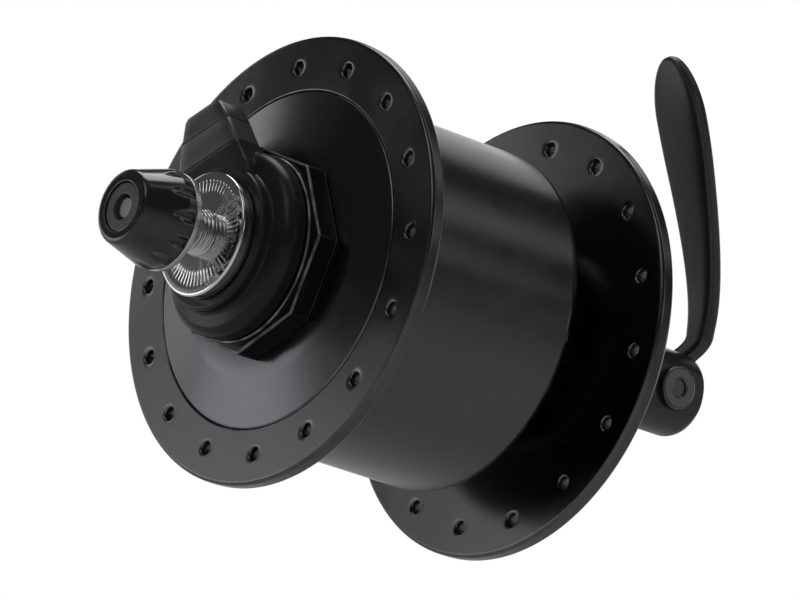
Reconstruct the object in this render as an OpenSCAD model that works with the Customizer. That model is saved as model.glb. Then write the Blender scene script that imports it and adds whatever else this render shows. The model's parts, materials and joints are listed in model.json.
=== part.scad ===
// Front bicycle hub with a built-in generator and a quick-release skewer.
// The hub axis runs along Y: +Y is the lever side (the bicycle's left), -Y the
// connector side (its right). +X is forward, +Z up. The origin is the point
// midway between the two locknut faces, on the hub axis. Millimetres.

/* [Hub width and flanges] */
// Distance between the outer faces of the left locknut and the right end nut
over_locknut_w = 100; // [97:1:110]
// Outer face of the right flange, measured from the hub centre
right_flange_y = 31; // [30:0.5:32]
// Inner face of the left flange, measured from the hub centre
left_flange_y = 29.4; // [28:0.2:30.4]
// Radius of both spoke flanges
flange_r = 45; // [43:0.5:48]
// Thickness of each spoke flange
flange_t = 3.2; // [2.6:0.1:3.6]
// Chamfer on the rims of the flanges
flange_chamfer = 0.7; // [0.3:0.1:1.1]
// Radius of the circle that the spoke holes lie on
spoke_circle_r = 39; // [38.5:0.5:41]
// Number of spoke holes in each flange
spoke_holes = 16; // [12:1:18]
// Radius of one spoke hole
spoke_hole_r = 1.3; // [1.1:0.1:1.6]

/* [Drum and neck] */
// Outer radius of the generator drum
drum_r = 34.9; // [34.5:0.1:36]
// Wall of the drum
drum_wall = 2.7; // [2.2:0.1:3.2]
// Outer face of the drum's closed end, measured from the hub centre
drum_end_y = 17.7; // [17:0.1:19]
// Thickness of the drum's closed end
drum_end_t = 3.5; // [2.5:0.1:4]
// Rounding where the drum turns into its closed end
drum_round = 2.6; // [1.5:0.1:3.4]
// Outer radius of the neck between the drum and the left flange
neck_r = 19; // [17.5:0.5:21]
// Wall of the neck
neck_wall = 3.5; // [2.5:0.1:4]
// Fillet at both ends of the neck
neck_fillet = 2.8; // [1.5:0.1:3.5]
// Outer radius of the left bearing boss
boss_r = 17.5; // [17:0.1:18.5]

/* [Right cover] */
// Outer radius of the cover plate
cover_r = 33.85; // [33.2:0.05:34.2]
// Thickness of the cover plate at its rim
cover_rim_t = 2; // [1.6:0.1:2.4]
// Rise of the cover plate from its rim to its middle
cover_rise = 2.2; // [1.2:0.1:2.4]
// Length of the cover's spigot inside the drum
cover_spigot = 4.5; // [3:0.1:6]
// Wall of the cover's spigot
spigot_wall = 2.6; // [2:0.1:3]
// Outer radius of the cover's threaded neck
cover_neck_r = 17; // [16.4:0.1:17.6]
// Wall of the octagonal lock ring, from the cover's neck to its corners
octagon_wall = 4; // [3.4:0.1:4.8]
// Thickness of the octagonal lock ring
octagon_t = 5.7; // [4.5:0.1:5.9]

/* [Bearings] */
// Radius of one bearing ball
ball_r = 2.38; // [2.1:0.01:2.6]
// Number of balls in each bearing
balls = 10; // [8:1:10]
// Radius of the circle that the ball centres lie on
ball_circle_r = 10.2; // [9.9:0.1:10.5]
// Left ball row, measured outwards from the left flange's outer face
left_ball_set = 3.9; // [3.6:0.1:4.2]
// Right ball row, measured outwards from the right flange's outer face
right_ball_set = 4.4; // [4.2:0.1:4.6]
// Outer radius of the bearing cups
cup_r = 14; // [13.7:0.1:14.3]
// Radius of the dust shield on each cone
shield_r = 12.2; // [11.9:0.1:12.3]
// Radius of the barrel of each cone
barrel_r = 8; // [7.4:0.1:8.2]
// Free space between the balls and the raceways
race_gap = 0.06; // [0.04:0.01:0.1]

/* [Axle] */
// Radius of the axle's thread
axle_r = 4.5; // [4.4:0.05:4.9]
// Radius of the hole through the axle
axle_bore_r = 2.85; // [2.75:0.05:3]
// Length of axle that stands out of each locknut face
axle_stub = 4; // [3:0.5:5]
// Height of the left locknut
locknut_h = 4.5; // [3.5:0.1:4.6]
// Width across the flats of the left locknut
locknut_af = 17; // [16:0.5:19]
// Width of the groove along the axle that carries the lead
lead_groove_w = 1.8; // [1.6:0.1:2]
// Radius of the insulated lead
lead_r = 0.5; // [0.4:0.05:0.6]

/* [Generator] */
// Centre of the generator, measured along the hub axis
generator_y = -4; // [-5:0.1:-3.6]
// Length of the magnets, the back iron and the stator
generator_w = 26; // [24:0.1:26.6]
// Number of claws on each of the two yokes
claws = 14; // [10:1:16]
// Thickness of the rolled back-iron ring
iron_t = 1.55; // [1.2:0.05:1.8]
// Thickness of the magnets
magnet_t = 2.65; // [2.2:0.05:2.9]
// Air gap between the magnets and the claws
air_gap = 0.5; // [0.4:0.05:0.8]
// Thickness of a claw
claw_t = 2; // [1.6:0.1:2.3]
// Thickness of a yoke's plate
yoke_t = 2.4; // [2:0.1:3]
// Width of a claw at its root
claw_root_w = 5.2; // [4.6:0.1:5.6]
// Width of a claw at its tip
claw_tip_w = 2.8; // [2.2:0.1:3.4]
// Depth of the notch between two claws
notch_depth = 5.5; // [4:0.1:6]
// Outer radius of the stator's iron core
core_r = 11; // [10:0.1:12]
// Outer radius of the bobbin's flanges
bobbin_r = 24.6; // [23.5:0.1:24.8]
// Wall of the bobbin
bobbin_t = 1.1; // [0.8:0.1:1.4]
// Depth of free bobbin above the winding
coil_below = 1.3; // [0.8:0.1:2]
// Height of each stator nut
stator_nut_h = 3.6; // [3:0.1:4]
// Width across the flats of each stator nut
stator_nut_af = 15; // [14:0.5:16]

/* [Connector] */
// Lean of the connector, backwards along the fork leg, in degrees
lean = 25; // [0:1:35]
// Largest radius of the terminal ring
terminal_r = 18.6; // [17.5:0.1:19.2]
// Radius of the terminal ring's nose
nose_r = 14.4; // [14:0.1:15.2]
// Radius of the right end nut
end_nut_r = 12.4; // [11.6:0.1:13]
// Thickness of the right end nut's disc
end_nut_t = 2.7; // [2.2:0.1:3]
// Length of the end nut's collar inside the terminal ring
end_collar = 1.9; // [1.5:0.1:2.2]
// Radius of the end nut's collar
end_collar_r = 9; // [8:0.1:10]
// Thickness of the terminal ring's clamped wall
clamped_wall = 2.3; // [2:0.1:2.6]
// Width of the terminal block
block_w = 19; // [18:0.5:20]
// Width of the plug's foot
plug_w = 17.6; // [16:0.2:18]
// Depth of the plug along the hub axis
plug_d = 6.6; // [6:0.1:6.8]
// Height of the terminal block above the hub axis
block_top = 17.8; // [17.4:0.1:19]
// Height of the plug's body
plug_h = 6; // [5.4:0.1:7]
// Height of the cap on top of the plug
cap_h = 5; // [4:0.1:6]
// Width of the cap's top
cap_top_w = 10.8; // [10:0.1:12]
// Radius of the cable hole through the cap
cable_hole_r = 2.1; // [1.8:0.1:2.3]
// Height of the two contact blades above the terminal block
blade_h = 4.6; // [3.6:0.1:5]

/* [Quick release] */
// Thickness of the fork end that each side clamps
fork_end_t = 8; // [7:0.5:10]
// Radius of the skewer rod
rod_r = 2.5; // [2.4:0.05:2.5]
// Distance from the lever-side clamping face to the cam's axis
cam_setback = 12; // [11.5:0.1:13]
// Throw of the cam on each side of its axis
cam_throw = 0.8; // [0.5:0.05:0.9]
// Radius of the cam
cam_r = 2.8; // [2.7:0.05:2.9]
// Radius of the camshaft's bearing on the lever side
journal_r = 4; // [3.8:0.05:4.2]
// Radius of the camshaft's bearing on the nut side
tail_r = 1.8; // [1.6:0.05:1.9]
// Outer radius of the eye at the end of the rod
eye_r = 5.4; // [5.2:0.1:5.6]
// Thickness of the eye
eye_t = 5.2; // [4.4:0.1:5.4]
// Radius of the cam housing
housing_r = 8.7; // [8.5:0.1:9.2]
// Width of the housing's foot beyond its barrel
housing_rim = 1.3; // [0.8:0.1:1.8]
// Distance from the rod's axis to the flats on both sides of the housing
side_x = 7.3; // [7.1:0.1:7.5]
// Radius of the round head of the lever
lever_head_r = 7.4; // [7:0.1:7.6]
// Thickness of the lever's head
lever_head_t = 4.3; // [3.8:0.1:5]
// Length of the lever from the cam's axis to its tip
lever_len = 67; // [62:0.5:74]
// Outward bulge of the lever
lever_bulge = 10.4; // [10:0.1:11]
// Height of the lever's elbow, where it bulges most
elbow_z = 15; // [14:0.5:17]
// Inward reach of the lever's tip
lever_hook = 11.4; // [8:0.2:11.4]
// Width of the lever's grip
lever_w = 13; // [12:0.2:14]
// Length over which the lever's tip rounds off
lever_tip = 12; // [9:0.5:14]
// Width of the lever's narrow neck
neck_w = 5.2; // [4.6:0.1:6]
// Thickness of the lever's grip
lever_t = 3.8; // [3.2:0.1:4]
// Thickness of the two serrated face washers
face_t = 1.2; // [1:0.1:1.6]
// Length of the adjusting nut, its face washer included
nut_len = 12; // [11.5:0.5:16]
// Radius of the adjusting nut at its inner end
nut_r = 9.8; // [9.4:0.1:10.4]
// Radius of the adjusting nut at its outer end
nut_end_r = 7.6; // [7:0.1:8.6]
// Number of grip flutes round the adjusting nut
flutes = 12; // [8:1:16]
// Radius of the spring wire
spring_wire_r = 0.4; // [0.3:0.05:0.5]
// Turns of each conical spring
spring_turns = 2.5; // [2:0.25:3]
// Outer radius of the large end of each spring
spring_r = 6.3; // [5.8:0.1:6.5]

/* [Hidden] */
$fn = 72;
fit = 0.03;        // radial gap between fitted parts that don't move
running = 0.05;    // radial gap of a shaft that turns or slides in its bore
clear = 0.3;       // gap between parts that pass without touching
seat = 0.05;       // gap between flat faces that are clamped together
corner = 0.6;      // small chamfer on turned edges

// Hub body
half_w = over_locknut_w / 2;
right_face = -right_flange_y;
left_outer = left_flange_y + flange_t;
drum_bore_r = drum_r - drum_wall;
drum_fillet = 1.4;
neck_bore_r = neck_r - neck_wall;
cover_gap = 0.15;
octagon_turn = -7;
octagon_r = cover_neck_r + octagon_wall;
lock_lip = 0.8;
seal_lip = 1;
right_spoke_turn = 7;
left_spoke_turn = right_spoke_turn - 180 / spoke_holes;

// Bearings
left_ball_y = left_outer + left_ball_set;
right_ball_y = right_face - right_ball_set;
cup_in = 3.4;
cup_out = 2.7;
cup_bore_r = ball_circle_r - 1.6;
cup_mouth_r = ball_circle_r + ball_r + race_gap;
shield_out = 3.25;
shield_t = 1.15;
cone_in = 1.4;
cone_rim_r = ball_circle_r + 0.4;
cage_t = 2.3;
cage_out = 2.6;
boss_end = left_ball_y + shield_out + shield_t + 0.4;
dust_cap_t = 1.2;

// Axle stack, left side
left_cone_end = boss_end + dust_cap_t + 1.2;
left_locknut_in = half_w - locknut_h;
seal_t = 1.7;

// Axle stack, right side
end_nut_in = -(half_w - end_nut_t);
collar_in = end_nut_in + end_collar;
clamp_in = collar_in + clamped_wall;
right_cone_end = clamp_in + seat;
cover_top = right_face - cover_rise;
octagon_in = cover_top - seat;
octagon_out = octagon_in - octagon_t;
terminal_in = octagon_out - 0.45;
terminal_out = end_nut_in + 0.2;

// Generator
gen_left = generator_y + generator_w / 2;
gen_right = generator_y - generator_w / 2;
iron_r = drum_bore_r - fit;
magnet_r = iron_r - iron_t - fit;
claw_r = magnet_r - magnet_t - air_gap;
shoulder_r = drum_bore_r - 1.3;
coil_r = bobbin_r - coil_below;
coil_gap = 0.05;
lead_out_r = core_r + 1.8;

// Terminal block and plug, in their leaned frame
block_in = terminal_in - 0.3;
block_out = terminal_out;
plug_y = (block_in + block_out) / 2;
plug_foot = block_top + 0.2;
plug_top = plug_foot + plug_h;
plug_slope = (plug_w - cap_top_w) / 2 / (plug_h + cap_h);
plug_mid_w = plug_w - 2 * plug_slope * plug_h;
blade_x = 3.6;
blade_w = 2.4;
blade_t = 0.8;
blade_foot = block_top - 3.4;
blade_room = 0.25;
lead_y = clamp_in - clamped_wall / 2;

// Quick release
left_clamp = half_w + fork_end_t;
right_clamp = -left_clamp;
cam_y = left_clamp + cam_setback;
eye_y = cam_y + cam_throw;
eye_slack = 0.25;
pocket_x = eye_t / 2 + clear;
pocket_in = eye_y - eye_r - 2 * cam_throw - clear;
pocket_out = eye_y + eye_r + clear;
housing_out = pocket_out + 1.8;
lever_in = side_x + 0.2;
flat_in = cam_y - lever_head_r - clear;
tail_nut_r = 4.4;
tail_nut_t = 1.2;
spigot_step = 1.4;
nut_out = right_clamp - nut_len;
insert_t = 2.4;
insert_r = 5;
rod_end = nut_out + 1.2;
spring_len = fork_end_t - axle_stub + face_t + 1.2;
spring_small_r = rod_r + spring_wire_r + 0.7;
spring_room_r = spring_r + clear;
spring_floor = face_t + 1.7;

// ---------------------------------------------------------------- helpers

// Turns local +Z into hub +Y; a profile's x is then a radius and its y a place along the hub.
module hub_axis() { rotate([-90, 0, 0]) children(); }

// Revolves a 2D profile (radius, place along the hub) about the hub axis.
module turned() { hub_axis() rotate_extrude() children(); }

// A profile rectangle between two radii and two places along the hub, in either order.
module band(r_in, r_out, y_a, y_b) {
    translate([r_in, min(y_a, y_b)]) square([r_out - r_in, abs(y_b - y_a)]);
}

// A plain tube about the hub axis.
module tube(r_in, r_out, y_a, y_b) { turned() band(r_in, r_out, y_a, y_b); }

// Places children at local angle turn about the hub axis, on the +Z side before the turn.
module around(turn) { rotate([0, -turn, 0]) children(); }

// The frame of the connector and of the lead that feeds it, leaned backwards.
module leaned() { rotate([0, -lean, 0]) children(); }

// A cylinder along +X that starts at x_a and ends at x_b.
module cross_rod(r, x_a, x_b) {
    translate([x_a, 0, 0]) rotate([0, 90, 0]) cylinder(r = r, h = x_b - x_a);
}

// A hexagonal nut blank about the hub axis.
module hex_blank(across, y_a, y_b) {
    hub_axis() translate([0, 0, y_a]) cylinder(r = across / sqrt(3), h = y_b - y_a, $fn = 6);
}

// Points of an arc about (cx, cy), for rounded corners of profiles.
function arc(cx, cy, r, from, to, steps = 6) =
    [for (i = [0:steps]) let (a = from + (to - from) * i / steps) [cx + r * cos(a), cy + r * sin(a)]];

// A point on a cubic Bezier curve.
function bezier(p, t) =
    pow(1 - t, 3) * p[0] + 3 * t * pow(1 - t, 2) * p[1] + 3 * t * t * (1 - t) * p[2] + pow(t, 3) * p[3];

// A round wire through a list of points.
module wire(points, r) {
    for (i = [0:len(points) - 2]) {
        d = points[i + 1] - points[i];
        translate(points[i]) rotate([0, acos(d[2] / norm(d)), atan2(d[1], d[0])])
            cylinder(r = r, h = norm(d), $fn = 40);
    }
    for (p = points) translate(p) sphere(r = 1.05 * r, $fn = 40);
}

// ---------------------------------------------------------------- rotating body

// A flange's row of spoke holes, drilled along the hub axis.
module spoke_row(turn, y_a, y_b) {
    for (i = [0:spoke_holes - 1])
        around(turn + 360 * i / spoke_holes)
            translate([spoke_circle_r, y_a - 1, 0]) rotate([-90, 0, 0])
                cylinder(r = spoke_hole_r, h = y_b - y_a + 2, $fn = 24);
}

// Both flanges, the drum, the neck and the left bearing boss are one forging.
module hub_shell() {
    rim = flange_r - flange_chamfer;
    right_in = right_face + flange_t;
    web_in = drum_end_y - drum_end_t;
    cup_floor = left_ball_y - cup_in - seat;
    bore_floor = right_face + cover_rim_t + seat;
    color("dimgray") difference() {
        turned() polygon(concat(
            [[cover_r + cover_gap, right_face], [rim, right_face],
             [flange_r, right_face + flange_chamfer], [flange_r, right_in - flange_chamfer],
             [rim, right_in]],
            arc(drum_r + drum_fillet, right_in + drum_fillet, drum_fillet, 270, 180),
            arc(drum_r - drum_round, drum_end_y - drum_round, drum_round, 0, 90),
            arc(neck_r + neck_fillet, drum_end_y + neck_fillet, neck_fillet, 270, 180),
            arc(neck_r + neck_fillet, left_flange_y - neck_fillet, neck_fillet, 180, 90),
            [[rim, left_flange_y], [flange_r, left_flange_y + flange_chamfer],
             [flange_r, left_outer - flange_chamfer], [rim, left_outer]],
            arc(boss_r + drum_fillet, left_outer + drum_fillet, drum_fillet, 270, 180),
            [[boss_r, boss_end - corner], [boss_r - corner, boss_end],
             [cup_r + fit, boss_end], [cup_r + fit, cup_floor],
             [cup_bore_r + 2.4, cup_floor], [cup_bore_r + 2.4, cup_floor - 1.4],
             [neck_bore_r, cup_floor - 1.4], [neck_bore_r, web_in],
             [shoulder_r, web_in], [shoulder_r, gen_left + seat],
             [drum_bore_r, gen_left + seat], [drum_bore_r, bore_floor],
             [cover_r + cover_gap, bore_floor]]
        ));
        spoke_row(right_spoke_turn, right_face, right_in);
        spoke_row(left_spoke_turn, left_flange_y, left_outer);
    }
}

// A dished plate that closes the drum and carries the right bearing in its threaded neck.
module cover_plate() {
    spigot_r = drum_bore_r - fit;
    spigot_end = right_face + cover_rim_t + cover_spigot;
    inner = right_face + cover_rim_t;
    neck_end = octagon_out + lock_lip + seat;
    cup_floor = right_ball_y + cup_in + seat;
    inner_r = cup_bore_r + 2.4;
    dish_r = octagon_r + 1.6;
    color("dimgray") turned() polygon([
        [cover_r, right_face + 0.4], [cover_r, inner], [spigot_r, inner],
        [spigot_r, spigot_end - corner], [spigot_r - corner, spigot_end],
        [spigot_r - spigot_wall, spigot_end], [spigot_r - spigot_wall, inner],
        [octagon_r, cover_top + cover_rim_t + 0.2], [cover_neck_r + 1.5, cup_floor + 2.2],
        [inner_r, cup_floor + 2.2], [inner_r, cup_floor], [cup_r + fit, cup_floor],
        [cup_r + fit, neck_end], [cover_neck_r - corner, neck_end],
        [cover_neck_r, neck_end + corner], [cover_neck_r, cover_top],
        [dish_r, cover_top], [cover_r - 0.4, right_face]
    ]);
}

// An eight-sided ring screwed onto the cover's neck.
module octagon_lock_ring() {
    step = 0.9;
    flats_r = octagon_r * cos(22.5);
    color("#26272a") difference() {
        union() {
            hub_axis() rotate(octagon_turn) translate([0, 0, octagon_out + step])
                cylinder(r = octagon_r, h = octagon_t - step, $fn = 8);
            turned() band(cup_r, flats_r - 0.6, octagon_out, octagon_out + step);
        }
        turned() band(0, cover_neck_r + fit, octagon_out + lock_lip, octagon_in + 1);
        turned() band(0, cup_r + seal_lip, octagon_out - 1, octagon_out + 1);
    }
}

// The rolled steel strip that closes the magnetic circuit, with its butt seam.
module back_iron_ring() {
    color("silver") difference() {
        tube(iron_r - iron_t, iron_r, gen_right, gen_left);
        around(45) translate([iron_r - iron_t / 2, generator_y, 0])
            cube([iron_t + 2, generator_w + 2, 0.4], center = true);
    }
}

// Four ferrite arcs glued inside the back iron, seven poles each.
module magnet_segments() {
    color("#3b3b3d") difference() {
        tube(magnet_r - magnet_t, magnet_r, gen_right, gen_left);
        for (i = [0:3])
            around(90 * i) translate([magnet_r - magnet_t / 2, generator_y, 0])
                cube([magnet_t + 2, generator_w + 2, 0.8], center = true);
    }
}

// Profile of a bearing cup; side is +1 on the left and -1 on the right.
module cup_profile(ball_y, side) {
    difference() {
        band(cup_bore_r, cup_r, ball_y - side * cup_in, ball_y + side * cup_out);
        translate([ball_circle_r, ball_y]) circle(r = ball_r + race_gap);
        band(0, cup_mouth_r, ball_y, ball_y + side * (cup_out + 1));
    }
}

module left_bearing_cup() { color("lightsteelblue") turned() cup_profile(left_ball_y, 1); }
module right_bearing_cup() { color("lightsteelblue") turned() cup_profile(right_ball_y, -1); }

// A cap pressed into the left boss that runs close round the cone's barrel.
module left_dust_cap() {
    color("#202124") turned() {
        band(barrel_r + clear, boss_r, boss_end + seat, boss_end + dust_cap_t);
        band(shield_r + clear, cup_r, left_ball_y + cup_out + seat, boss_end + seat * 2);
    }
}

// A lip seal that the lock ring's lip holds against the right cup.
module right_grease_seal() {
    color("#1b1b1b") turned()
        band(shield_r + clear, cup_r + seal_lip - fit, octagon_out + seat, octagon_out + lock_lip - seat);
}

// ---------------------------------------------------------------- ball rows

module ball_row(ball_y, grow = 0) {
    for (i = [0:balls - 1])
        around(360 * i / balls) translate([ball_circle_r, ball_y, 0])
            sphere(r = ball_r + grow, $fn = 32);
}

// A pressed cage that holds the balls apart on their outer side.
module retainer(ball_y, side) {
    color("#b08d57") difference() {
        tube(ball_circle_r + 0.7, cup_mouth_r - clear, ball_y + side * (cage_out - cage_t),
             ball_y + side * cage_out);
        ball_row(ball_y, grow = 0.08);
    }
}

module left_balls() { color("gainsboro") ball_row(left_ball_y); }
module left_ball_retainer() { retainer(left_ball_y, 1); }
module right_balls() { color("gainsboro") ball_row(right_ball_y); }
module right_ball_retainer() { retainer(right_ball_y, -1); }

// ---------------------------------------------------------------- axle and its stack

// A hollow threaded axle with a groove that leads the wire under the right cone.
module axle() {
    end_y = half_w + axle_stub;
    color("silver") difference() {
        turned() polygon([
            [axle_bore_r, -end_y], [axle_r - corner, -end_y], [axle_r, -end_y + corner],
            [axle_r, end_y - corner], [axle_r - corner, end_y], [axle_bore_r, end_y]
        ]);
        leaned() translate([-lead_groove_w / 2, lead_y - 1, axle_r - 1.25])
            cube([lead_groove_w, gen_right - lead_y - 0.5, 3]);
    }
}

// Profile of a cone: the race, the dust shield and the barrel.
module cone_profile(ball_y, side, end_y) {
    shield_in = ball_y + side * shield_out;
    difference() {
        union() {
            band(axle_r + fit, cone_rim_r, ball_y - side * cone_in, shield_in);
            band(axle_r + fit, shield_r, shield_in, shield_in + side * shield_t);
            band(axle_r + fit, barrel_r, shield_in, end_y);
        }
        translate([ball_circle_r, ball_y]) circle(r = ball_r + race_gap);
    }
}

module left_cone() { color("silver") turned() cone_profile(left_ball_y, 1, left_cone_end); }
module right_cone() { color("silver") turned() cone_profile(right_ball_y, -1, right_cone_end); }

module left_spacer() {
    color("silver") tube(axle_r + fit, barrel_r, left_cone_end + seat, left_locknut_in - seat);
}

module left_locknut() {
    color("silver") difference() {
        intersection() {
            hex_blank(locknut_af, left_locknut_in, half_w);
            turned() polygon([
                [0, left_locknut_in], [locknut_af / sqrt(3), left_locknut_in],
                [locknut_af / sqrt(3), half_w - 1], [locknut_af / 2 - 0.4, half_w], [0, half_w]
            ]);
        }
        tube(0, axle_r + fit, left_locknut_in - 1, half_w + 1);
    }
}

// A rubber boot on the cone and spacer that shields the dust cap's gap.
module left_rubber_seal() {
    seal_in = boss_end + dust_cap_t + clear;
    skirt_r = cup_r - corner;
    color("#151515") turned() polygon([
        [barrel_r + fit, seal_in], [skirt_r, seal_in], [skirt_r - 0.4, seal_in + seal_t / 2],
        [barrel_r + 2, seal_in + seal_t], [barrel_r + fit, seal_in + seal_t]
    ]);
}

// A large polished nut whose disc meets the fork end.
module right_end_nut() {
    color("gainsboro") turned() {
        band(axle_r + fit, end_nut_r, -half_w, end_nut_in);
        band(axle_r + fit, end_collar_r, end_nut_in, collar_in - seat);
    }
}

// The stationary ring that shields the right bearing and carries the terminal block.
module terminal_ring() {
    color("#1a1a1c") difference() {
        union() {
            turned() polygon(concat(
                [[axle_r + fit, terminal_in], [terminal_r - 0.5, terminal_in],
                 [terminal_r, terminal_in - 0.5]],
                arc(terminal_r - 2.4, terminal_in - 2.2, 2.4, 0, -75),
                [[nose_r, terminal_in - 5.2], [nose_r, terminal_out + corner],
                 [nose_r - corner, terminal_out], [axle_r + fit, terminal_out]]
            ));
            leaned() terminal_block();
        }
        leaned() translate([-block_w / 2 - clear, block_out - 1, block_top])
            cube([block_w + 2 * clear, plug_d + 3, terminal_r]);
        tube(0, barrel_r + fit, right_cone_end - seat, terminal_in + 1);
        tube(0, shield_r + clear, terminal_in - 0.9, terminal_in + 1);
        tube(0, end_collar_r + clear, terminal_out - 1, collar_in);
        leaned() {
            for (s = [-1, 1]) translate([s * blade_x, plug_y, (blade_foot + block_top) / 2 + 1])
                cube([blade_w + 2 * fit, blade_t + 2 * fit, block_top - blade_foot + 2], center = true);
            translate([0, lead_y, (axle_r + blade_foot) / 2])
                cube([lead_groove_w, clamped_wall - 0.8, blade_foot - axle_r + 2], center = true);
            translate([0, (plug_y + lead_y) / 2, blade_foot - 0.75])
                cube([2 * blade_x + blade_w + 1, abs(lead_y - plug_y) + 2, 1.6], center = true);
        }
    }
}

// The flat-topped block that the two contacts stand in.
module terminal_block() {
    foot = 8;
    spread = 2;
    translate([0, block_in, 0]) rotate([90, 0, 0]) linear_extrude(height = block_in - block_out)
        polygon([
            [-block_w / 2 - spread, foot], [block_w / 2 + spread, foot], [block_w / 2 + spread, 11.5],
            [block_w / 2, block_top - 1], [block_w / 2 - 1, block_top],
            [1 - block_w / 2, block_top], [-block_w / 2, block_top - 1], [-block_w / 2 - spread, 11.5]
        ]);
}

module terminal_contacts() {
    color("goldenrod") leaned() for (s = [-1, 1])
        translate([s * blade_x - blade_w / 2, plug_y - blade_t / 2, blade_foot])
            cube([blade_w, blade_t, block_top + blade_h - blade_foot]);
}

// The insulated lead, from the coil through the axle's groove to one contact.
module lead_wire() {
    groove_z = axle_r - 0.6;
    nut_clear = gen_right - stator_nut_h - 2.8;
    color("firebrick") leaned() wire([
        [0, gen_right + yoke_t + 0.2, lead_out_r], [0, gen_right - 1, lead_out_r],
        [0, nut_clear, groove_z + 2.4], [0, nut_clear - 2.2, groove_z], [0, lead_y, groove_z],
        [0, lead_y, blade_foot - 0.8], [blade_x - 0.4, plug_y, blade_foot - 0.8]
    ], lead_r);
}

// ---------------------------------------------------------------- generator stator

module stator_core() {
    color("slategray") tube(axle_r + fit, core_r, gen_right + yoke_t + seat, gen_left - yoke_t - seat);
}

// One stamped and bent yoke. side is +1 for the left plate, whose claws point right.
// The claws taper to their tips and stand between the claws of the other yoke.
module claw_yoke(side) {
    pitch = 360 / claws;
    plate_out = side > 0 ? gen_left : gen_right;
    plate_in = plate_out - side * yoke_t;
    tip_y = plate_out - side * (generator_w - 0.8);
    plate_r = claw_r - 0.25;
    root_y = plate_out - side * 0.2;
    notch_w = claw_r * PI * 2 / claws - claw_root_w - 0.6;
    turn = side > 0 ? 0 : pitch / 2;
    color("slategray") difference() {
        union() {
            difference() {
                tube(axle_r + fit, plate_r, plate_in, plate_out);
                for (i = [0:claws - 1])
                    around(turn + pitch * (i + 0.5))
                        translate([claw_r, (plate_in + plate_out) / 2, 0])
                            cube([2 * notch_depth, yoke_t + 2, notch_w], center = true);
            }
            intersection() {
                tube(claw_r - claw_t, claw_r, root_y, tip_y);
                for (i = [0:claws - 1])
                    around(turn + pitch * i) translate([claw_r + 1, 0, 0]) rotate([0, -90, 0])
                        linear_extrude(height = claw_t + 3) polygon([
                            [-claw_root_w / 2, plate_out], [claw_root_w / 2, plate_out],
                            [claw_tip_w / 2, tip_y], [-claw_tip_w / 2, tip_y]
                        ]);
            }
        }
        if (side < 0) leaned() translate([0, plate_out - 1, lead_out_r]) rotate([-90, 0, 0])
            cylinder(r = lead_r + clear, h = yoke_t + 2, $fn = 24);
    }
}

module left_claw_yoke() { claw_yoke(1); }
module right_claw_yoke() { claw_yoke(-1); }

// The moulded spool, with the hole that its lead leaves by.
module coil_bobbin() {
    spool_a = gen_right + yoke_t + seat;
    spool_b = gen_left - yoke_t - seat;
    color("ivory") difference() {
        turned() {
            band(core_r + fit, core_r + bobbin_t, spool_a, spool_b);
            band(core_r + fit, bobbin_r, spool_a, spool_a + bobbin_t);
            band(core_r + fit, bobbin_r, spool_b - bobbin_t, spool_b);
        }
        leaned() translate([0, spool_a - 1, lead_out_r]) rotate([-90, 0, 0])
            cylinder(r = lead_r + clear, h = bobbin_t + 1.4, $fn = 24);
    }
}

module coil_winding() {
    inset = yoke_t + seat + bobbin_t + coil_gap;
    color("chocolate") tube(core_r + bobbin_t + coil_gap, coil_r, gen_right + inset, gen_left - inset);
}

module stator_nut(y_a, y_b) {
    color("silver") difference() {
        hex_blank(stator_nut_af, y_a, y_b);
        tube(0, axle_r + fit, y_a - 1, y_b + 1);
    }
}

module left_stator_nut() { stator_nut(gen_left + seat, gen_left + seat + stator_nut_h); }
module right_stator_nut() { stator_nut(gen_right - seat - stator_nut_h, gen_right - seat); }

// ---------------------------------------------------------------- connector plug

// The plug's body, with a slot for each blade and the bore that the cable's cores come down.
module connector_plug() {
    color("#55585c") leaned() difference() {
        translate([0, plug_y + plug_d / 2, plug_foot]) rotate([90, 0, 0])
            linear_extrude(height = plug_d) polygon([
                [-plug_w / 2, 0], [plug_w / 2, 0], [plug_mid_w / 2, plug_h], [-plug_mid_w / 2, plug_h]
            ]);
        for (s = [-1, 1]) translate([s * blade_x, plug_y, plug_foot + (blade_h + clear) / 2 - 1])
            cube([blade_w + 2 * blade_room, blade_t + 2 * blade_room, blade_h + 2], center = true);
    }
}

// The tapered cap, which clamps the cable's cores to the plug.
module connector_cap() {
    color("#3c3e41") leaned() difference() {
        translate([0, plug_y + plug_d / 2, plug_top + seat]) rotate([90, 0, 0])
            linear_extrude(height = plug_d) polygon([
                [-plug_mid_w / 2, 0], [plug_mid_w / 2, 0],
                [cap_top_w / 2, cap_h - 1], [cap_top_w / 2 - 1.2, cap_h],
                [-cap_top_w / 2 + 1.2, cap_h], [-cap_top_w / 2, cap_h - 1]
            ]);
        translate([0, plug_y, plug_top + seat + 0.8]) cylinder(r = cable_hole_r, h = cap_h, $fn = 32);
    }
}

// ---------------------------------------------------------------- quick release

// The long rod with the eye that the cam pulls on. The eye's slot lets the cam rise and fall.
module skewer_rod() {
    color("silver") difference() {
        union() {
            turned() polygon([
                [0, rod_end], [rod_r - corner, rod_end], [rod_r, rod_end + corner],
                [rod_r, eye_y - cam_r], [0, eye_y - cam_r]
            ]);
            translate([0, eye_y, 0]) cross_rod(eye_r, -eye_t / 2, eye_t / 2);
        }
        translate([0, eye_y, 0]) {
            for (s = [-1, 1]) translate([0, 0, s * cam_throw])
                cross_rod(cam_r + eye_slack, -eye_t, eye_t);
            cube([2 * eye_t, 2 * (cam_r + eye_slack), 2 * cam_throw], center = true);
        }
    }
}

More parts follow.
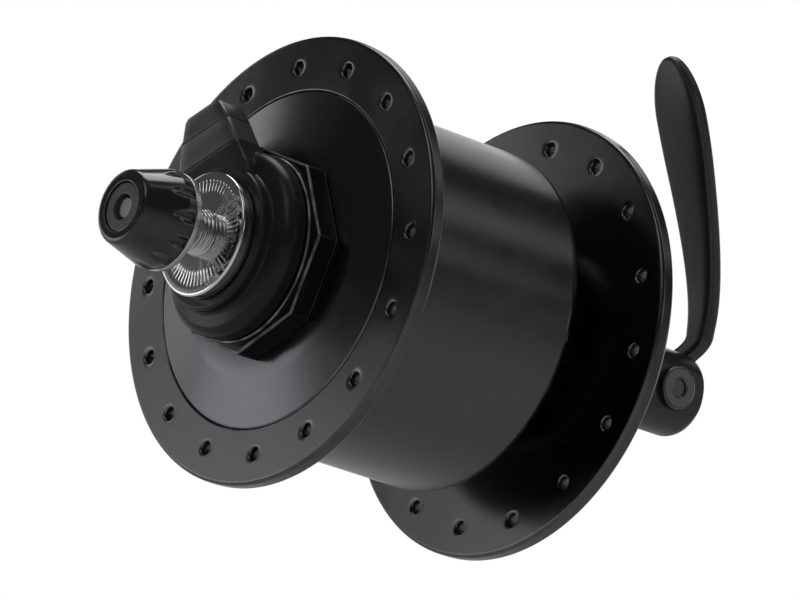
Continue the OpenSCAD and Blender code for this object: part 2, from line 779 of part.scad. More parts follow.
// The barrel that holds the cam, with flat bosses on both sides and a pocket for the eye.
module cam_housing() {
    foot = left_clamp + face_t + seat;
    edge = 3;
    color("#1d1e20") difference() {
        union() {
            turned() polygon(concat(
                [[0, foot], [housing_r + housing_rim, foot], [housing_r + housing_rim, foot + 1],
                 [housing_r + 0.3, foot + 2.2], [housing_r, foot + 3]],
                arc(housing_r - edge, housing_out - edge, edge, 0, 90),
                [[0, housing_out]]
            ));
        }
        for (s = [-1, 1])
            translate([s * (side_x + housing_r), flat_in + housing_r, 0])
                cube([2 * housing_r, 2 * housing_r, 3 * housing_r], center = true);
        tube(0, rod_r + clear, foot - 1, cam_y);
        tube(0, spring_room_r, foot - 1, left_clamp + spring_floor);
        translate([-pocket_x, pocket_in, -eye_r - clear])
            cube([2 * pocket_x, pocket_out - pocket_in, 2 * (eye_r + clear)]);
        translate([0, cam_y, 0]) {
            cross_rod(journal_r + running, -side_x - 1, 0);
            cross_rod(tail_r + running, 0, side_x + 1);
        }
    }
}

// The stepped shaft with the eccentric cam between its two bearings.
module camshaft() {
    color("silver") {
        translate([0, cam_y, 0]) {
            cross_rod(journal_r, seat - lever_in, -pocket_x - 0.1);
            cross_rod(journal_r - spigot_step, -lever_in - 2.4, 0.01 + seat - lever_in);
            cross_rod(tail_r, 0, side_x + tail_nut_t - 0.4);
        }
        translate([0, cam_y + cam_throw, 0]) cross_rod(cam_r, -pocket_x - 0.2, pocket_x - 0.15);
    }
}

// The low round nut on the tail of the camshaft.
module camshaft_nut() {
    edge = 0.5;
    color("#1d1e20") translate([side_x + 0.1, cam_y, 0]) rotate([0, 90, 0]) difference() {
        rotate_extrude() polygon(concat(
            [[0, 0], [tail_nut_r, 0]],
            arc(tail_nut_r - edge, tail_nut_t - edge, edge, 0, 90),
            [[0, tail_nut_t]]
        ));
        translate([0, 0, -1]) cylinder(r = tail_r + fit, h = tail_nut_t + 2);
    }
}

// Side view of the lever: distance out from the cam's axis against height.
function lever_line(t) = t < 1
    ? bezier([[0.25 * lever_bulge, 0.1 * elbow_z], [0.92 * lever_bulge, 0.1 * elbow_z],
              [1.06 * lever_bulge, elbow_z / 2], [lever_bulge, elbow_z]], t)
    : bezier([[lever_bulge, elbow_z], [lever_bulge, elbow_z + 10],
              [3.2, 0.6 * lever_len], [-lever_hook, lever_len]], t - 1);

function lever_edge(t, side) =
    let (d = lever_line(t + 0.01) - lever_line(t - 0.01), n = [d[1], -d[0]] / norm(d))
    lever_line(t) + side * lever_t / 2 * n;

// How far the arm has swung over, from 0 beside the housing to 1 on the rod's axis.
function swung(z) = let (u = max(0, min(1, 2.5 * z / elbow_z - 5 / 6))) u * u * (3 - 2 * u);

// How far the arm has widened, from 0 at the neck to 1 at the grip.
function widened(z) = max(0, min(1, (z - 0.75 * elbow_z) / (0.75 * (lever_len - elbow_z))));

// Front view of the lever: where its middle stands to the side, and half its width.
function lever_side(z) = -(lever_in + lever_head_t / 2) * (1 - swung(z));
function lever_half(z) =
    let (tip = min(1, max(0, 1 + (z - lever_len) / lever_tip)), bend = 4 * swung(z) * (1 - swung(z)))
    min(neck_w / 2 - 0.4 * (1 - swung(z)) + 0.9 * bend + widened(z) * (lever_w - neck_w) / 2,
        lever_w / 2 * sqrt(1 - tip * tip) + 0.2);

// The arm is its side view, as thick as the grip, cut to its front view.
module lever_arm() {
    samples = 28;
    foot_z = 0.5;
    reach = 2 * (lever_in + lever_w);
    heights = [for (i = [0:samples]) foot_z + (lever_len + 0.6 - foot_z) * i / samples];
    turns = [for (i = [0:samples]) 0.02 + 1.97 * i / samples];
    intersection() {
        translate([-reach / 2, cam_y, 0]) rotate([90, 0, 90]) linear_extrude(height = reach)
            polygon(concat([for (t = turns) lever_edge(t, 1)],
                           [for (i = [samples:-1:0]) lever_edge(turns[i], -1)]));
        translate([0, cam_y + reach / 2, 0]) rotate([90, 0, 0]) linear_extrude(height = reach)
            polygon(concat([for (z = heights) [lever_side(z) + lever_half(z), z]],
                           [for (i = [samples:-1:0]) let (z = heights[i])
                               [lever_side(z) - lever_half(z), z]]));
    }
}

// The lever: a round head on the camshaft and a curved arm that swings over to the rod's axis.
module quick_release_lever() {
    color("#222326") difference() {
        union() {
            translate([0, cam_y, 0]) {
                cross_rod(lever_head_r, 0.8 - lever_in - lever_head_t, -lever_in);
                cross_rod(lever_head_r - 0.8, -lever_in - lever_head_t, -lever_in);
            }
            lever_arm();
        }
        translate([0, cam_y, 0]) cross_rod(journal_r - spigot_step + fit, -lever_in - 2.5, 1 - lever_in);
    }
}

// The serrated steel rings that bite into the fork ends.
module face_washer(y_a, y_b, r) { color("silver") tube(spring_room_r, r, y_a, y_b); }
module cam_face_washer() { face_washer(left_clamp, left_clamp + face_t, housing_r + housing_rim); }
module nut_face_washer() { face_washer(right_clamp - face_t, right_clamp, nut_r); }

// The tapered nut, with flutes at its inner end and a recess for its locking insert.
module adjusting_nut() {
    inner = right_clamp - face_t - seat;
    flute_r = 1.3;
    color("#161618") difference() {
        turned() polygon(concat(
            [[0, inner], [nut_r, inner], [nut_r, inner - 2]],
            arc(nut_end_r - 1.2, nut_out + 1.2, 1.2, 0, -90),
            [[0, nut_out]]
        ));
        tube(0, spring_room_r, right_clamp - spring_floor, inner + 1);
        tube(0, rod_r + running, nut_out - 1, inner);
        tube(0, insert_r, nut_out - 1, nut_out + insert_t + 0.4);
        for (i = [0:flutes - 1])
            around(360 * i / flutes) translate([nut_r + 0.5, inner - 6.5, 0]) rotate([-90, 0, 0])
                cylinder(r = flute_r, h = 7.5, $fn = 24);
    }
}

module nut_insert() {
    color("whitesmoke") tube(rod_r + running, insert_r - fit, nut_out + 0.35, nut_out + insert_t + 0.35);
}

// One conical spring; side is +1 on the lever side. Its small end faces the axle.
module spring(side) {
    steps = 22;
    sides = 8;
    n = round(spring_turns * steps);
    start = half_w + axle_stub + spring_wire_r + 0.2;
    travel = left_clamp + spring_floor - spring_wire_r - 0.2 - start;
    big_r = spring_r - spring_wire_r;
    function at(i, k) =
        let (u = i / n, a = 360 * i / steps, r = spring_small_r + (big_r - spring_small_r) * u,
             c = 360 * k / sides, rr = r + spring_wire_r * cos(c))
        [rr * cos(a), side * (start + travel * u + spring_wire_r * sin(c)), rr * sin(a)];
    points = [for (i = [0:n]) for (k = [0:sides - 1]) at(i, k)];
    walls = [for (i = [0:n - 1]) for (k = [0:sides - 1])
        let (a = i * sides + k, b = i * sides + (k + 1) % sides) [a, b, b + sides, a + sides]];
    caps = [[for (k = [sides - 1:-1:0]) k], [for (k = [0:sides - 1]) n * sides + k]];
    faces = concat(walls, caps);
    flipped = [for (f = faces) [for (i = [len(f) - 1:-1:0]) f[i]]];
    color("silver") polyhedron(points, side > 0 ? faces : flipped);
}

module left_spring() { spring(1); }
module right_spring() { spring(-1); }

hub_shell();
cover_plate();
octagon_lock_ring();
back_iron_ring();
magnet_segments();
left_bearing_cup();
right_bearing_cup();
left_dust_cap();
right_grease_seal();
left_balls();
left_ball_retainer();
right_balls();
right_ball_retainer();
axle();
left_cone();
right_cone();
left_spacer();
left_locknut();
left_rubber_seal();
right_end_nut();
terminal_ring();
terminal_contacts();
lead_wire();
stator_core();
left_claw_yoke();
right_claw_yoke();
coil_bobbin();
coil_winding();
left_stator_nut();
right_stator_nut();
connector_plug();
connector_cap();
skewer_rod();
cam_housing();
camshaft();
camshaft_nut();
quick_release_lever();
cam_face_washer();
nut_face_washer();
adjusting_nut();
nut_insert();
left_spring();
right_spring();
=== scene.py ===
"""A front wheel hub with a generator inside, its plug and its quick release, dressed for looking at.

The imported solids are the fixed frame. Each class below is one sub-assembly: it keeps its sizes in
millimetres, works out its surfaces with numpy in the hub's own frame (the axle along Y, the lever on
the +Y side and pointing up) and gives every piece and every carried-over solid its finish.
"""

import json
import logging
import math
from dataclasses import dataclass
from enum import Enum, IntEnum
from typing import Callable, Sequence

import bmesh
import bpy
import numpy as np
from mathutils import Matrix, Quaternion, Vector

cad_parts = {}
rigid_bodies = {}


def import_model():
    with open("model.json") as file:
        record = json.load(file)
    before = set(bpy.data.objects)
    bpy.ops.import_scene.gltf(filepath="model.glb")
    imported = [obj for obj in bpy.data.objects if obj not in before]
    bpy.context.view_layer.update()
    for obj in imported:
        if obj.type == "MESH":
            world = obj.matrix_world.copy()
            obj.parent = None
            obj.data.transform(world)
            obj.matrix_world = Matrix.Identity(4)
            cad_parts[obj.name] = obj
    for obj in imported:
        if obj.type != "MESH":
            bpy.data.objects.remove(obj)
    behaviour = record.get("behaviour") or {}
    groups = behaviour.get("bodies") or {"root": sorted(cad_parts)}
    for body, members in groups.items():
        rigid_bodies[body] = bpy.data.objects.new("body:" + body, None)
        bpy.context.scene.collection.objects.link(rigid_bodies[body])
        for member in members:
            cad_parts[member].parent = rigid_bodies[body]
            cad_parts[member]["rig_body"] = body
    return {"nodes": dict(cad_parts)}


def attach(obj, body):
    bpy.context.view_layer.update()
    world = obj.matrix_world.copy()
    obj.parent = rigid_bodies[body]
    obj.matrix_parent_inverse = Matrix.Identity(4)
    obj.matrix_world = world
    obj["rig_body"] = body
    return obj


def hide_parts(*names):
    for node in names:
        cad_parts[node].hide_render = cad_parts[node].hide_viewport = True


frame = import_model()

log = logging.getLogger("hub")
MM = 0.001
TURN = 2 * math.pi
LEAN = 25.0         # how far back the fork leans, in degrees
SUPPORT = 0.12      # how far past an arc its support point lies
SPLIT = 0.001       # points of a profile closer than this become one
WELD = 0.003        # points of a skin closer than this become one
APART = 0.02        # stations nearer than this to a quarter round are left out
TINY = 1e-9         # keeps a divisor away from nothing
Array = np.ndarray
Piece = bpy.types.Object
Rows = Sequence[Sequence[float]]
Shape = Callable[[Array, Array, Array], tuple[Array, Array]]


# Curves, profiles and grids

def ease(t: Array) -> Array:
    """Smooth step from 0 to 1: t squared times (3 - 2t), held at its ends."""
    t = np.clip(t, 0.0, 1.0)
    return t * t * (3.0 - 2.0 * t)


def soft_min(a: Array, b: Array, blend: float) -> Array:
    """Lesser of two values, with the corner between them rounded over a width of blend."""
    h = np.clip(0.5 + 0.5 * (b - a) / blend, 0.0, 1.0)
    return b + (a - b) * h - blend * h * (1.0 - h)


def length(vectors: Array) -> Array:
    """Length of each vector, with its axis kept."""
    return np.linalg.norm(vectors, axis=-1, keepdims=True)


def bezier(points: Rows, t: Array) -> Array:
    """Points of a cubic Bezier curve at t, 0 to 1: its four points weighted by the Bernstein terms."""
    p, t = np.asarray(points, float), np.asarray(t, float)[:, None]
    return (1 - t) ** 3 * p[0] + 3 * t * (1 - t) ** 2 * p[1] + 3 * t * t * (1 - t) * p[2] + t ** 3 * p[3]


def corners(rows: Rows) -> Array:
    """Corners of a profile that is partly given by its walls.

    Args:
        rows: A row of three is a corner: its radius, place along the axle and fillet. A row of four
            is a wall along the axle: its radius, where it ends, and the fillets at its start and end.
            It starts at the place of the row before it, and the first one at the place of the last.

    Returns:
        Rows of radius, place and fillet.
    """
    found = []
    for before, (radius, end, *fillets) in zip([rows[-1], *rows], rows):
        if len(fillets) == 2:
            found.append((radius, before[1], fillets[0]))
        found.append((radius, end, fillets[-1]))
    return np.array(found, float)


def rounded(rows: Rows, closed: bool = True, steps: int = 5, longest: float = 0.0) -> Array:
    """Profile with its corners turned into arcs, and a support point just past each arc's ends.

    A corner with half angle h and fillet f is left f / tan(h) before it and joined again as far
    after it, along the circle of radius f whose centre lies f / sin(h) out on the bisector.

    Args:
        rows: Corners and walls, as corners() takes them.
        closed: Whether the last corner joins the first.
        steps: Chords in each arc.
        longest: Longest step along the profile, or 0 to leave long steps as they are.

    Returns:
        Rows of radius and place along the axle.
    """
    at, fillet = np.split(corners(rows), [2], axis=1)
    before, after = np.roll(at, 1, 0), np.roll(at, -1, 0)
    lead = np.full_like(fillet, SUPPORT)
    if not closed:
        before[0], after[-1] = 2 * at[0] - at[1], 2 * at[-1] - at[-2]
        fillet[[0, -1]] = lead[[0, -1]] = 0.0
    back, ahead = before - at, after - at
    back_len, ahead_len = length(back), length(ahead)
    back, ahead = back / back_len, ahead / ahead_len
    cosine = np.clip((back * ahead).sum(1, keepdims=True), -0.999999, 0.999999)
    half = np.arccos(cosine) / 2
    reach = fillet / np.tan(half)
    room_back = np.maximum(back_len - reach - np.roll(reach, 1, 0), 0) / 2
    room_ahead = np.maximum(ahead_len - reach - np.roll(reach, -1, 0), 0) / 2
    bisector = back + ahead
    centre = at + bisector / np.maximum(length(bisector), TINY) * (fillet / np.sin(half))
    start, end = at + back * reach - centre, at + ahead * reach - centre
    sweep, s = math.pi - 2 * half, np.linspace(0.0, 1.0, steps + 1)
    arc = np.sin((1 - s) * sweep)[..., None] * start[:, None] + np.sin(s * sweep)[..., None] * end[:, None]
    arc = centre[:, None] + arc / np.maximum(np.sin(sweep), TINY)[..., None]
    first = at + back * (reach + np.minimum(lead, room_back))
    last = at + ahead * (reach + np.minimum(lead, room_ahead))
    line = np.concatenate([first[:, None], arc, last[:, None]], 1).reshape(-1, 2)
    gap = length(line - np.roll(line, 1, 0))[:, 0]
    gap[0] += 0.0 if closed else 1.0
    line = line[gap > SPLIT]
    return filled(line, longest, closed) if longest else line


def filled(line: Array, longest: float, closed: bool) -> Array:
    """Profile with points added evenly along its steps.

    Args:
        line: Rows of radius and place along the axle.
        longest: Longest step that may be left.
        closed: Whether the last point joins the first.

    Returns:
        Rows of the same kind.
    """
    line = np.vstack([line, line[:1]]) if closed else line
    extra = np.maximum(np.ceil(length(np.diff(line, axis=0))[:, 0] / longest).astype(int), 1)
    which = np.repeat(np.arange(len(extra)), extra)
    part = (np.arange(len(which)) - (np.cumsum(extra) - extra)[which]) / extra[which]
    inner = line[which] + (line[which + 1] - line[which]) * part[:, None]
    return inner if closed else np.vstack([inner, line[-1:]])


def turn_angles(count: int, first: float = 0.0) -> Array:
    """Evenly spaced angles round a full turn, in radians, from a first angle in degrees."""
    return math.radians(first) + np.arange(count) * TURN / count


@dataclass(frozen=True)
class Polygon:
    """Polygon with rounded corners, as it is seen along the axle.

    Attributes:
        sides: Number of flats.
        first: Angle of the first corner, in degrees.
        apothem: Distance from the centre to a flat.
        corner: Radius of the rounded corners.
    """

    sides: int
    first: float
    apothem: float
    corner: float

    def _corner(self) -> tuple[float, float, float]:
        """Works out the corners: the corner arc's centre lies (apothem - corner) / cos(half the pitch) out.

        Returns:
            Angle from one corner to the next, distance of its arc's centre, half the angle of its arc.
        """
        pitch = TURN / self.sides
        reach = (self.apothem - self.corner) / math.cos(pitch / 2)
        edge = math.atan2(self.corner * math.sin(pitch / 2), reach + self.corner * math.cos(pitch / 2))
        return pitch, reach, edge

    def angles(self, per_side: int) -> Array:
        """Works out angles round it that gather on its corners.

        Args:
            per_side: Steps along each flat.

        Returns:
            Rising angles, in radians.
        """
        pitch, _, edge = self._corner()
        near = np.array([-1.6, -1, -0.7, -0.35, 0, 0.35, 0.7, 1, 1.6]) * edge
        along = np.linspace(near[-1], pitch - near[-1], per_side + 1)[1:-1]
        one = np.concatenate([near, along])
        return (math.radians(self.first) + one + pitch * np.arange(self.sides)[:, None]).ravel()

    def radius(self, angle: Array) -> Array:
        """Distance from its centre to its outline.

        Along a flat it is the apothem over the cosine of the angle from the flat's middle. Within a
        corner's arc it is the far crossing of the ray with the corner's circle.

        Args:
            angle: Angles round it, in radians.

        Returns:
            Distances of the same shape.
        """
        pitch, reach, edge = self._corner()
        off = (angle - math.radians(self.first) + pitch / 2) % pitch - pitch / 2
        flat = self.apothem / np.cos(pitch / 2 - np.abs(off))
        arc = np.sqrt(np.maximum(self.corner ** 2 - (reach * np.sin(off)) ** 2, 0))
        return np.where(np.abs(off) < edge, reach * np.cos(off) + arc, flat)


def revolve(profile: Array, angles: Array, shape: Shape | None = None) -> Array:
    """Grid of a profile carried round the axle: (r cos a, y, r sin a).

    Args:
        profile: Rows of radius and place along the axle.
        angles: Angles round the axle, in radians.
        shape: Changes radius and place as a function of radius, place and angle.

    Returns:
        Points as rows, columns and coordinates.
    """
    r, y, a = profile[:, :1], profile[:, 1:], angles[None, :]
    if shape is not None:
        r, y = shape(r, y, a)
    r, y, a = np.broadcast_arrays(r, y, a)
    return np.stack([r * np.cos(a), y, r * np.sin(a)], -1)


def swept(path: Array, radius: float, sides: int = 14) -> Array:
    """Grid of a round wire along a path, its ends drawn in to closed points.

    Each section is a circle in the plane of two directions square to the path: the one nearest to
    the axle's, and their cross product. The last steps shrink as the end of a ball does.

    Args:
        path: Rows of coordinates along the middle of the wire.
        radius: Radius of the wire.
        sides: Points round each section.

    Returns:
        Points as rows, columns and coordinates.
    """
    tangent = np.gradient(path, axis=0)
    tangent /= length(tangent)
    up = np.array([0.0, 1.0, 0.0]) - tangent * tangent[:, 1:2]
    up /= length(up)
    across = np.cross(tangent, up)
    dome = np.array([0.0, 0.35, 0.7, 1.1])
    size = np.concatenate([np.sin(dome), np.ones(len(path)), np.sin(dome)[::-1]]) * radius
    shift = np.concatenate([-np.cos(dome), np.zeros(len(path)), np.cos(dome)[::-1]]) * radius * 0.5
    which = np.pad(np.arange(len(path)), len(dome), mode="edge")
    centre = path[which] + tangent[which] * shift[:, None]
    c = turn_angles(sides)[None, :, None]
    ring = up[which][:, None] * np.cos(c) + across[which][:, None] * np.sin(c)
    return centre[:, None] + ring * size[:, None, None]


def box_loops(half_x: Array, half_y: Array, corner: Array, per_corner: int = 6, per_side: int = 5) -> Array:
    """Loops of a rectangle with rounded corners, one for each station.

    Args:
        half_x: Half width at each station.
        half_y: Half depth at each station.
        corner: Corner radius at each station.
        per_corner: Chords in each corner.
        per_side: Points along each straight side.

    Returns:
        Stations, points round the loop, and the two coordinates.
    """
    sx, sy = np.array([1, -1, -1, 1])[:, None], np.array([1, 1, -1, -1])[:, None]
    a = np.linspace(0, TURN / 4, per_corner + 1) + (np.arange(4) * TURN / 4)[:, None]
    hx, hy, c = (v[:, None, None] for v in (half_x, half_y, corner))
    arcs = np.stack([sx * (hx - c) + c * np.cos(a), sy * (hy - c) + c * np.sin(a)], -1)
    ends, starts = arcs[:, :, -1:], np.roll(arcs[:, :, :1], -1, 1)
    t = (np.arange(1, per_side + 1) / (per_side + 1))[:, None]
    return np.concatenate([arcs, ends * (1 - t) + starts * t], 2).reshape(len(half_x), -1, 2)


def capped(grid: Array) -> Array:
    """Grid with a row added at each end that is the middle of the row beside it."""
    ends = [np.broadcast_to(grid[k].mean(0), grid[:1].shape) for k in (0, -1)]
    return np.concatenate([ends[0], grid, ends[1]])


def stacked(stations: Rows, edge: float, middle: float) -> Array:
    """Grid of a stack of rounded rectangles, with eased ends that are drawn in to a point.

    At an angle f up the quarter round at each end, the outline is drawn in by edge times (1 - cos f)
    and lies edge times (1 - sin f) inside the end.

    Args:
        stations: Rows of height, half width, half depth and corner radius.
        edge: Radius of the quarter rounds.
        middle: Where the middle of the depth lies along the axle.

    Returns:
        Points as rows, columns and coordinates.
    """
    s = np.asarray(stations, float)
    f = np.linspace(TURN / 4, 0, 5)
    rise, draw = edge * (1 - np.sin(f)), edge * (1 - np.cos(f))
    low, high = s[0, 0] + rise, s[-1, 0] - rise[::-1]
    between = s[(s[:, 0] > low[-1] + APART) & (s[:, 0] < high[0] - APART), 0]
    z = np.concatenate([low, between, high])
    inset = np.concatenate([draw, np.zeros(len(between)), draw[::-1]])
    wide, deep, corner = (np.interp(z, s[:, 0], s[:, k]) for k in (1, 2, 3))
    loops = box_loops(wide - inset, deep - inset, np.maximum(corner - inset * 0.8, 0.1))
    height = np.broadcast_to(z[:, None, None], (*loops.shape[:2], 1))
    return capped(np.concatenate([loops[..., :1], middle + loops[..., 1:], height], -1))


def leaned(points: Array) -> Array:
    """Points turned back about the axle by the lean of the fork: the +Z direction tips towards -X.

    Args:
        points: Points whose last axis is x, y, z.

    Returns:
        Points of the same shape.
    """
    c, s = math.cos(math.radians(LEAN)), math.sin(math.radians(LEAN))
    x, y, z = np.moveaxis(points, -1, 0)
    return np.stack([x * c - z * s, y, x * s + z * c], -1)


def crosswise(points: Array, at_y: float) -> Array:
    """Points turned so that the axle's own direction lies along X, at a place along the axle."""
    return np.stack([points[..., 1], at_y + points[..., 0], points[..., 2]], -1)


class Skin:
    """Grids of points in millimetres, gathered into one closed surface."""

    def __init__(self) -> None:
        """Starts with no points."""
        self.points: list[Array] = []
        self.quads: list[Array] = []
        self.count = 0

    def grid(self, points: Array, closed: bool = False) -> "Skin":
        """Adds a grid of quads whose columns go all the way round.

        Args:
            points: Rows, columns and coordinates.
            closed: Whether the last row joins the first.

        Returns:
            This skin, so that calls can follow each other.
        """
        rows, cols = points.shape[:2]
        i, j = np.arange(rows if closed else rows - 1)[:, None], np.arange(cols)[None, :]
        i2, j2 = (i + 1) % rows, (j + 1) % cols
        quad = np.stack([i * cols + j, i * cols + j2, i2 * cols + j2, i2 * cols + j], -1)
        self.quads.append(quad.reshape(-1, 4) + self.count)
        self.points.append(points.reshape(-1, 3))
        self.count += rows * cols
        return self

    def piece(self, name: str) -> Piece:
        """Makes the object: welds shared seams and poles, and turns its faces outward.

        Args:
            name: Name of the piece.

        Returns:
            The linked object, with a point attribute "edge" of how tightly it curves outward.
        """
        points, quads = np.vstack(self.points) * MM, np.vstack(self.quads)
        mesh = bpy.data.meshes.new(name)
        mesh.vertices.add(len(points))
        mesh.vertices.foreach_set("co", points.astype(np.float32).ravel())
        mesh.loops.add(quads.size)
        mesh.loops.foreach_set("vertex_index", quads.astype(np.int32).ravel())
        mesh.polygons.add(len(quads))
        mesh.polygons.foreach_set("loop_start", np.arange(0, quads.size, 4, dtype=np.int32))
        mesh.update(calc_edges=True)
        form = bmesh.new()
        form.from_mesh(mesh)
        bmesh.ops.remove_doubles(form, verts=form.verts, dist=WELD * MM)
        bmesh.ops.recalc_face_normals(form, faces=form.faces)
        if form.calc_volume(signed=True) < 0:
            bmesh.ops.reverse_faces(form, faces=form.faces)
        form.to_mesh(mesh)
        form.free()
        return finish_mesh(mesh, name)


def finish_mesh(mesh: bpy.types.Mesh, name: str, sharp: float = 38.0) -> Piece:
    """Shades a mesh, works out its edge attribute and links it as an object.

    The edge value at a point is the greatest outward curvature, in turns of normal per millimetre,
    along the edges that meet there: twice the drop below the tangent plane over the length squared.

    Args:
        mesh: The mesh.
        name: Name of the piece.
        sharp: Faces that meet at more than this many degrees keep a hard edge.

    Returns:
        The linked object.
    """
    mesh.shade_smooth()
    mesh.set_sharp_from_angle(angle=math.radians(sharp))
    count = len(mesh.vertices)
    co, no = np.empty(count * 3, np.float32), np.empty(count * 3, np.float32)
    mesh.vertices.foreach_get("co", co)
    mesh.vertices.foreach_get("normal", no)
    ends = np.empty(len(mesh.edges) * 2, np.int32)
    mesh.edges.foreach_get("vertices", ends)
    co, no, (a, b) = co.reshape(-1, 3) / MM, no.reshape(-1, 3), ends.reshape(-1, 2).T
    along = co[b] - co[a]
    square = np.maximum((along ** 2).sum(1), 1e-6)
    curve = np.zeros(count, np.float32)
    np.maximum.at(curve, a, -2 * (no[a] * along).sum(1) / square)
    np.maximum.at(curve, b, 2 * (no[b] * along).sum(1) / square)
    mesh.attributes.new("edge", "FLOAT", "POINT").data.foreach_set("value", np.clip(curve, 0, 6))
    piece = bpy.data.objects.new(name, mesh)
    bpy.context.scene.collection.objects.link(piece)
    return piece


def turned(name: str, profile: Array, count: int, shape: Shape | None = None, closed: bool = True) -> Piece:
    """Piece made by carrying a profile round the axle in a count of steps, and a shape as in revolve()."""
    return Skin().grid(revolve(profile, turn_angles(count), shape), closed).piece(name)


# Finishes

class Value:
    """A node's result that can be reckoned with: each sum adds one node to its tree."""

    def __init__(self, socket: bpy.types.NodeSocket) -> None:
        """Keeps the socket that gives the result."""
        self.socket = socket

    def _sum(self, operation: str, a: object, b: object = 0.0) -> "Value":
        """Adds one sum and returns its result."""
        return Graph(self.socket.id_data).add("Math", {0: a, 1: b}, operation=operation)

    def __add__(self, other: object) -> "Value":
        """This plus another."""
        return self._sum("ADD", self, other)

    def __sub__(self, other: object) -> "Value":
        """This less another."""
        return self._sum("SUBTRACT", self, other)

    def __rsub__(self, other: object) -> "Value":
        """Another less this."""
        return self._sum("SUBTRACT", other, self)

    def __mul__(self, other: object) -> "Value":
        """This times another."""
        return self._sum("MULTIPLY", self, other)

    def root(self) -> "Value":
        """Square root of this."""
        return self._sum("SQRT", self)

    def at_least(self, other: object) -> "Value":
        """The greater of this and another."""
        return self._sum("MAXIMUM", self, other)

    def step(self, low: float, high: float, at_low: float = 0.0, at_high: float = 1.0) -> "Value":
        """Smooth step from one value at low to another at high, held past both."""
        inputs = {0: self, 1: low, 2: high, 3: at_low, 4: at_high}
        return Graph(self.socket.id_data).add("MapRange", inputs, interpolation_type="SMOOTHSTEP")


class Graph:
    """A node tree with short ways to add and join nodes."""

    def __init__(self, tree: bpy.types.NodeTree) -> None:
        """Keeps the tree that nodes are added to."""
        self.tree = tree

    @classmethod
    def of(cls, owner: bpy.types.Material | bpy.types.World) -> "Graph":
        """Empty node tree of a material or of the surroundings.

        Args:
            owner: What the tree belongs to.

        Returns:
            The graph, with no nodes in it.
        """
        owner.use_nodes = True
        owner.node_tree.nodes.clear()
        return cls(owner.node_tree)

    def node(self, kind: str, inputs: dict | None = None, **settings: object) -> bpy.types.Node:
        """Adds a node.

        Args:
            kind: Blender's name of the node, without its leading ShaderNode.
            inputs: Values or numbers for its inputs, by name or place.
            settings: Properties to set on it.

        Returns:
            The node.
        """
        node = self.tree.nodes.new("ShaderNode" + kind)
        for key, value in settings.items():
            setattr(node, key, value)
        for key, value in (inputs or {}).items():
            if isinstance(value, Value):
                self.tree.links.new(value.socket, node.inputs[key])
            else:
                node.inputs[key].default_value = value
        return node

    def add(self, kind: str, inputs: dict | None = None, result: int | str = 0,
            **settings: object) -> Value:
        """Adds a node and returns one of its results, the first unless another is named."""
        return Value(self.node(kind, inputs, **settings).outputs[result])

    def noise(self, at: Value, scale: float | Value, detail: float = 2.0, **more: float) -> Value:
        """Adds soft noise at a place, from 0 to 1."""
        return self.add("TexNoise", {"Vector": at, "Scale": scale, "Detail": detail, **more})

    def blend(self, factor: Value, a: object, b: object) -> Value:
        """Mixes two colours and returns the result."""
        return self.add("Mix", {0: factor, 6: a, 7: b}, 2, data_type="RGBA")

    def use(self, group: bpy.types.NodeTree, **inputs: object) -> Value:
        """Adds one use of a shared group and returns its value."""
        return self.add("Group", inputs, node_tree=group)

    def parts(self, at: Value) -> list[Value]:
        """The three coordinates of a place."""
        return [Value(socket) for socket in self.node("SeparateXYZ", {0: at}).outputs]


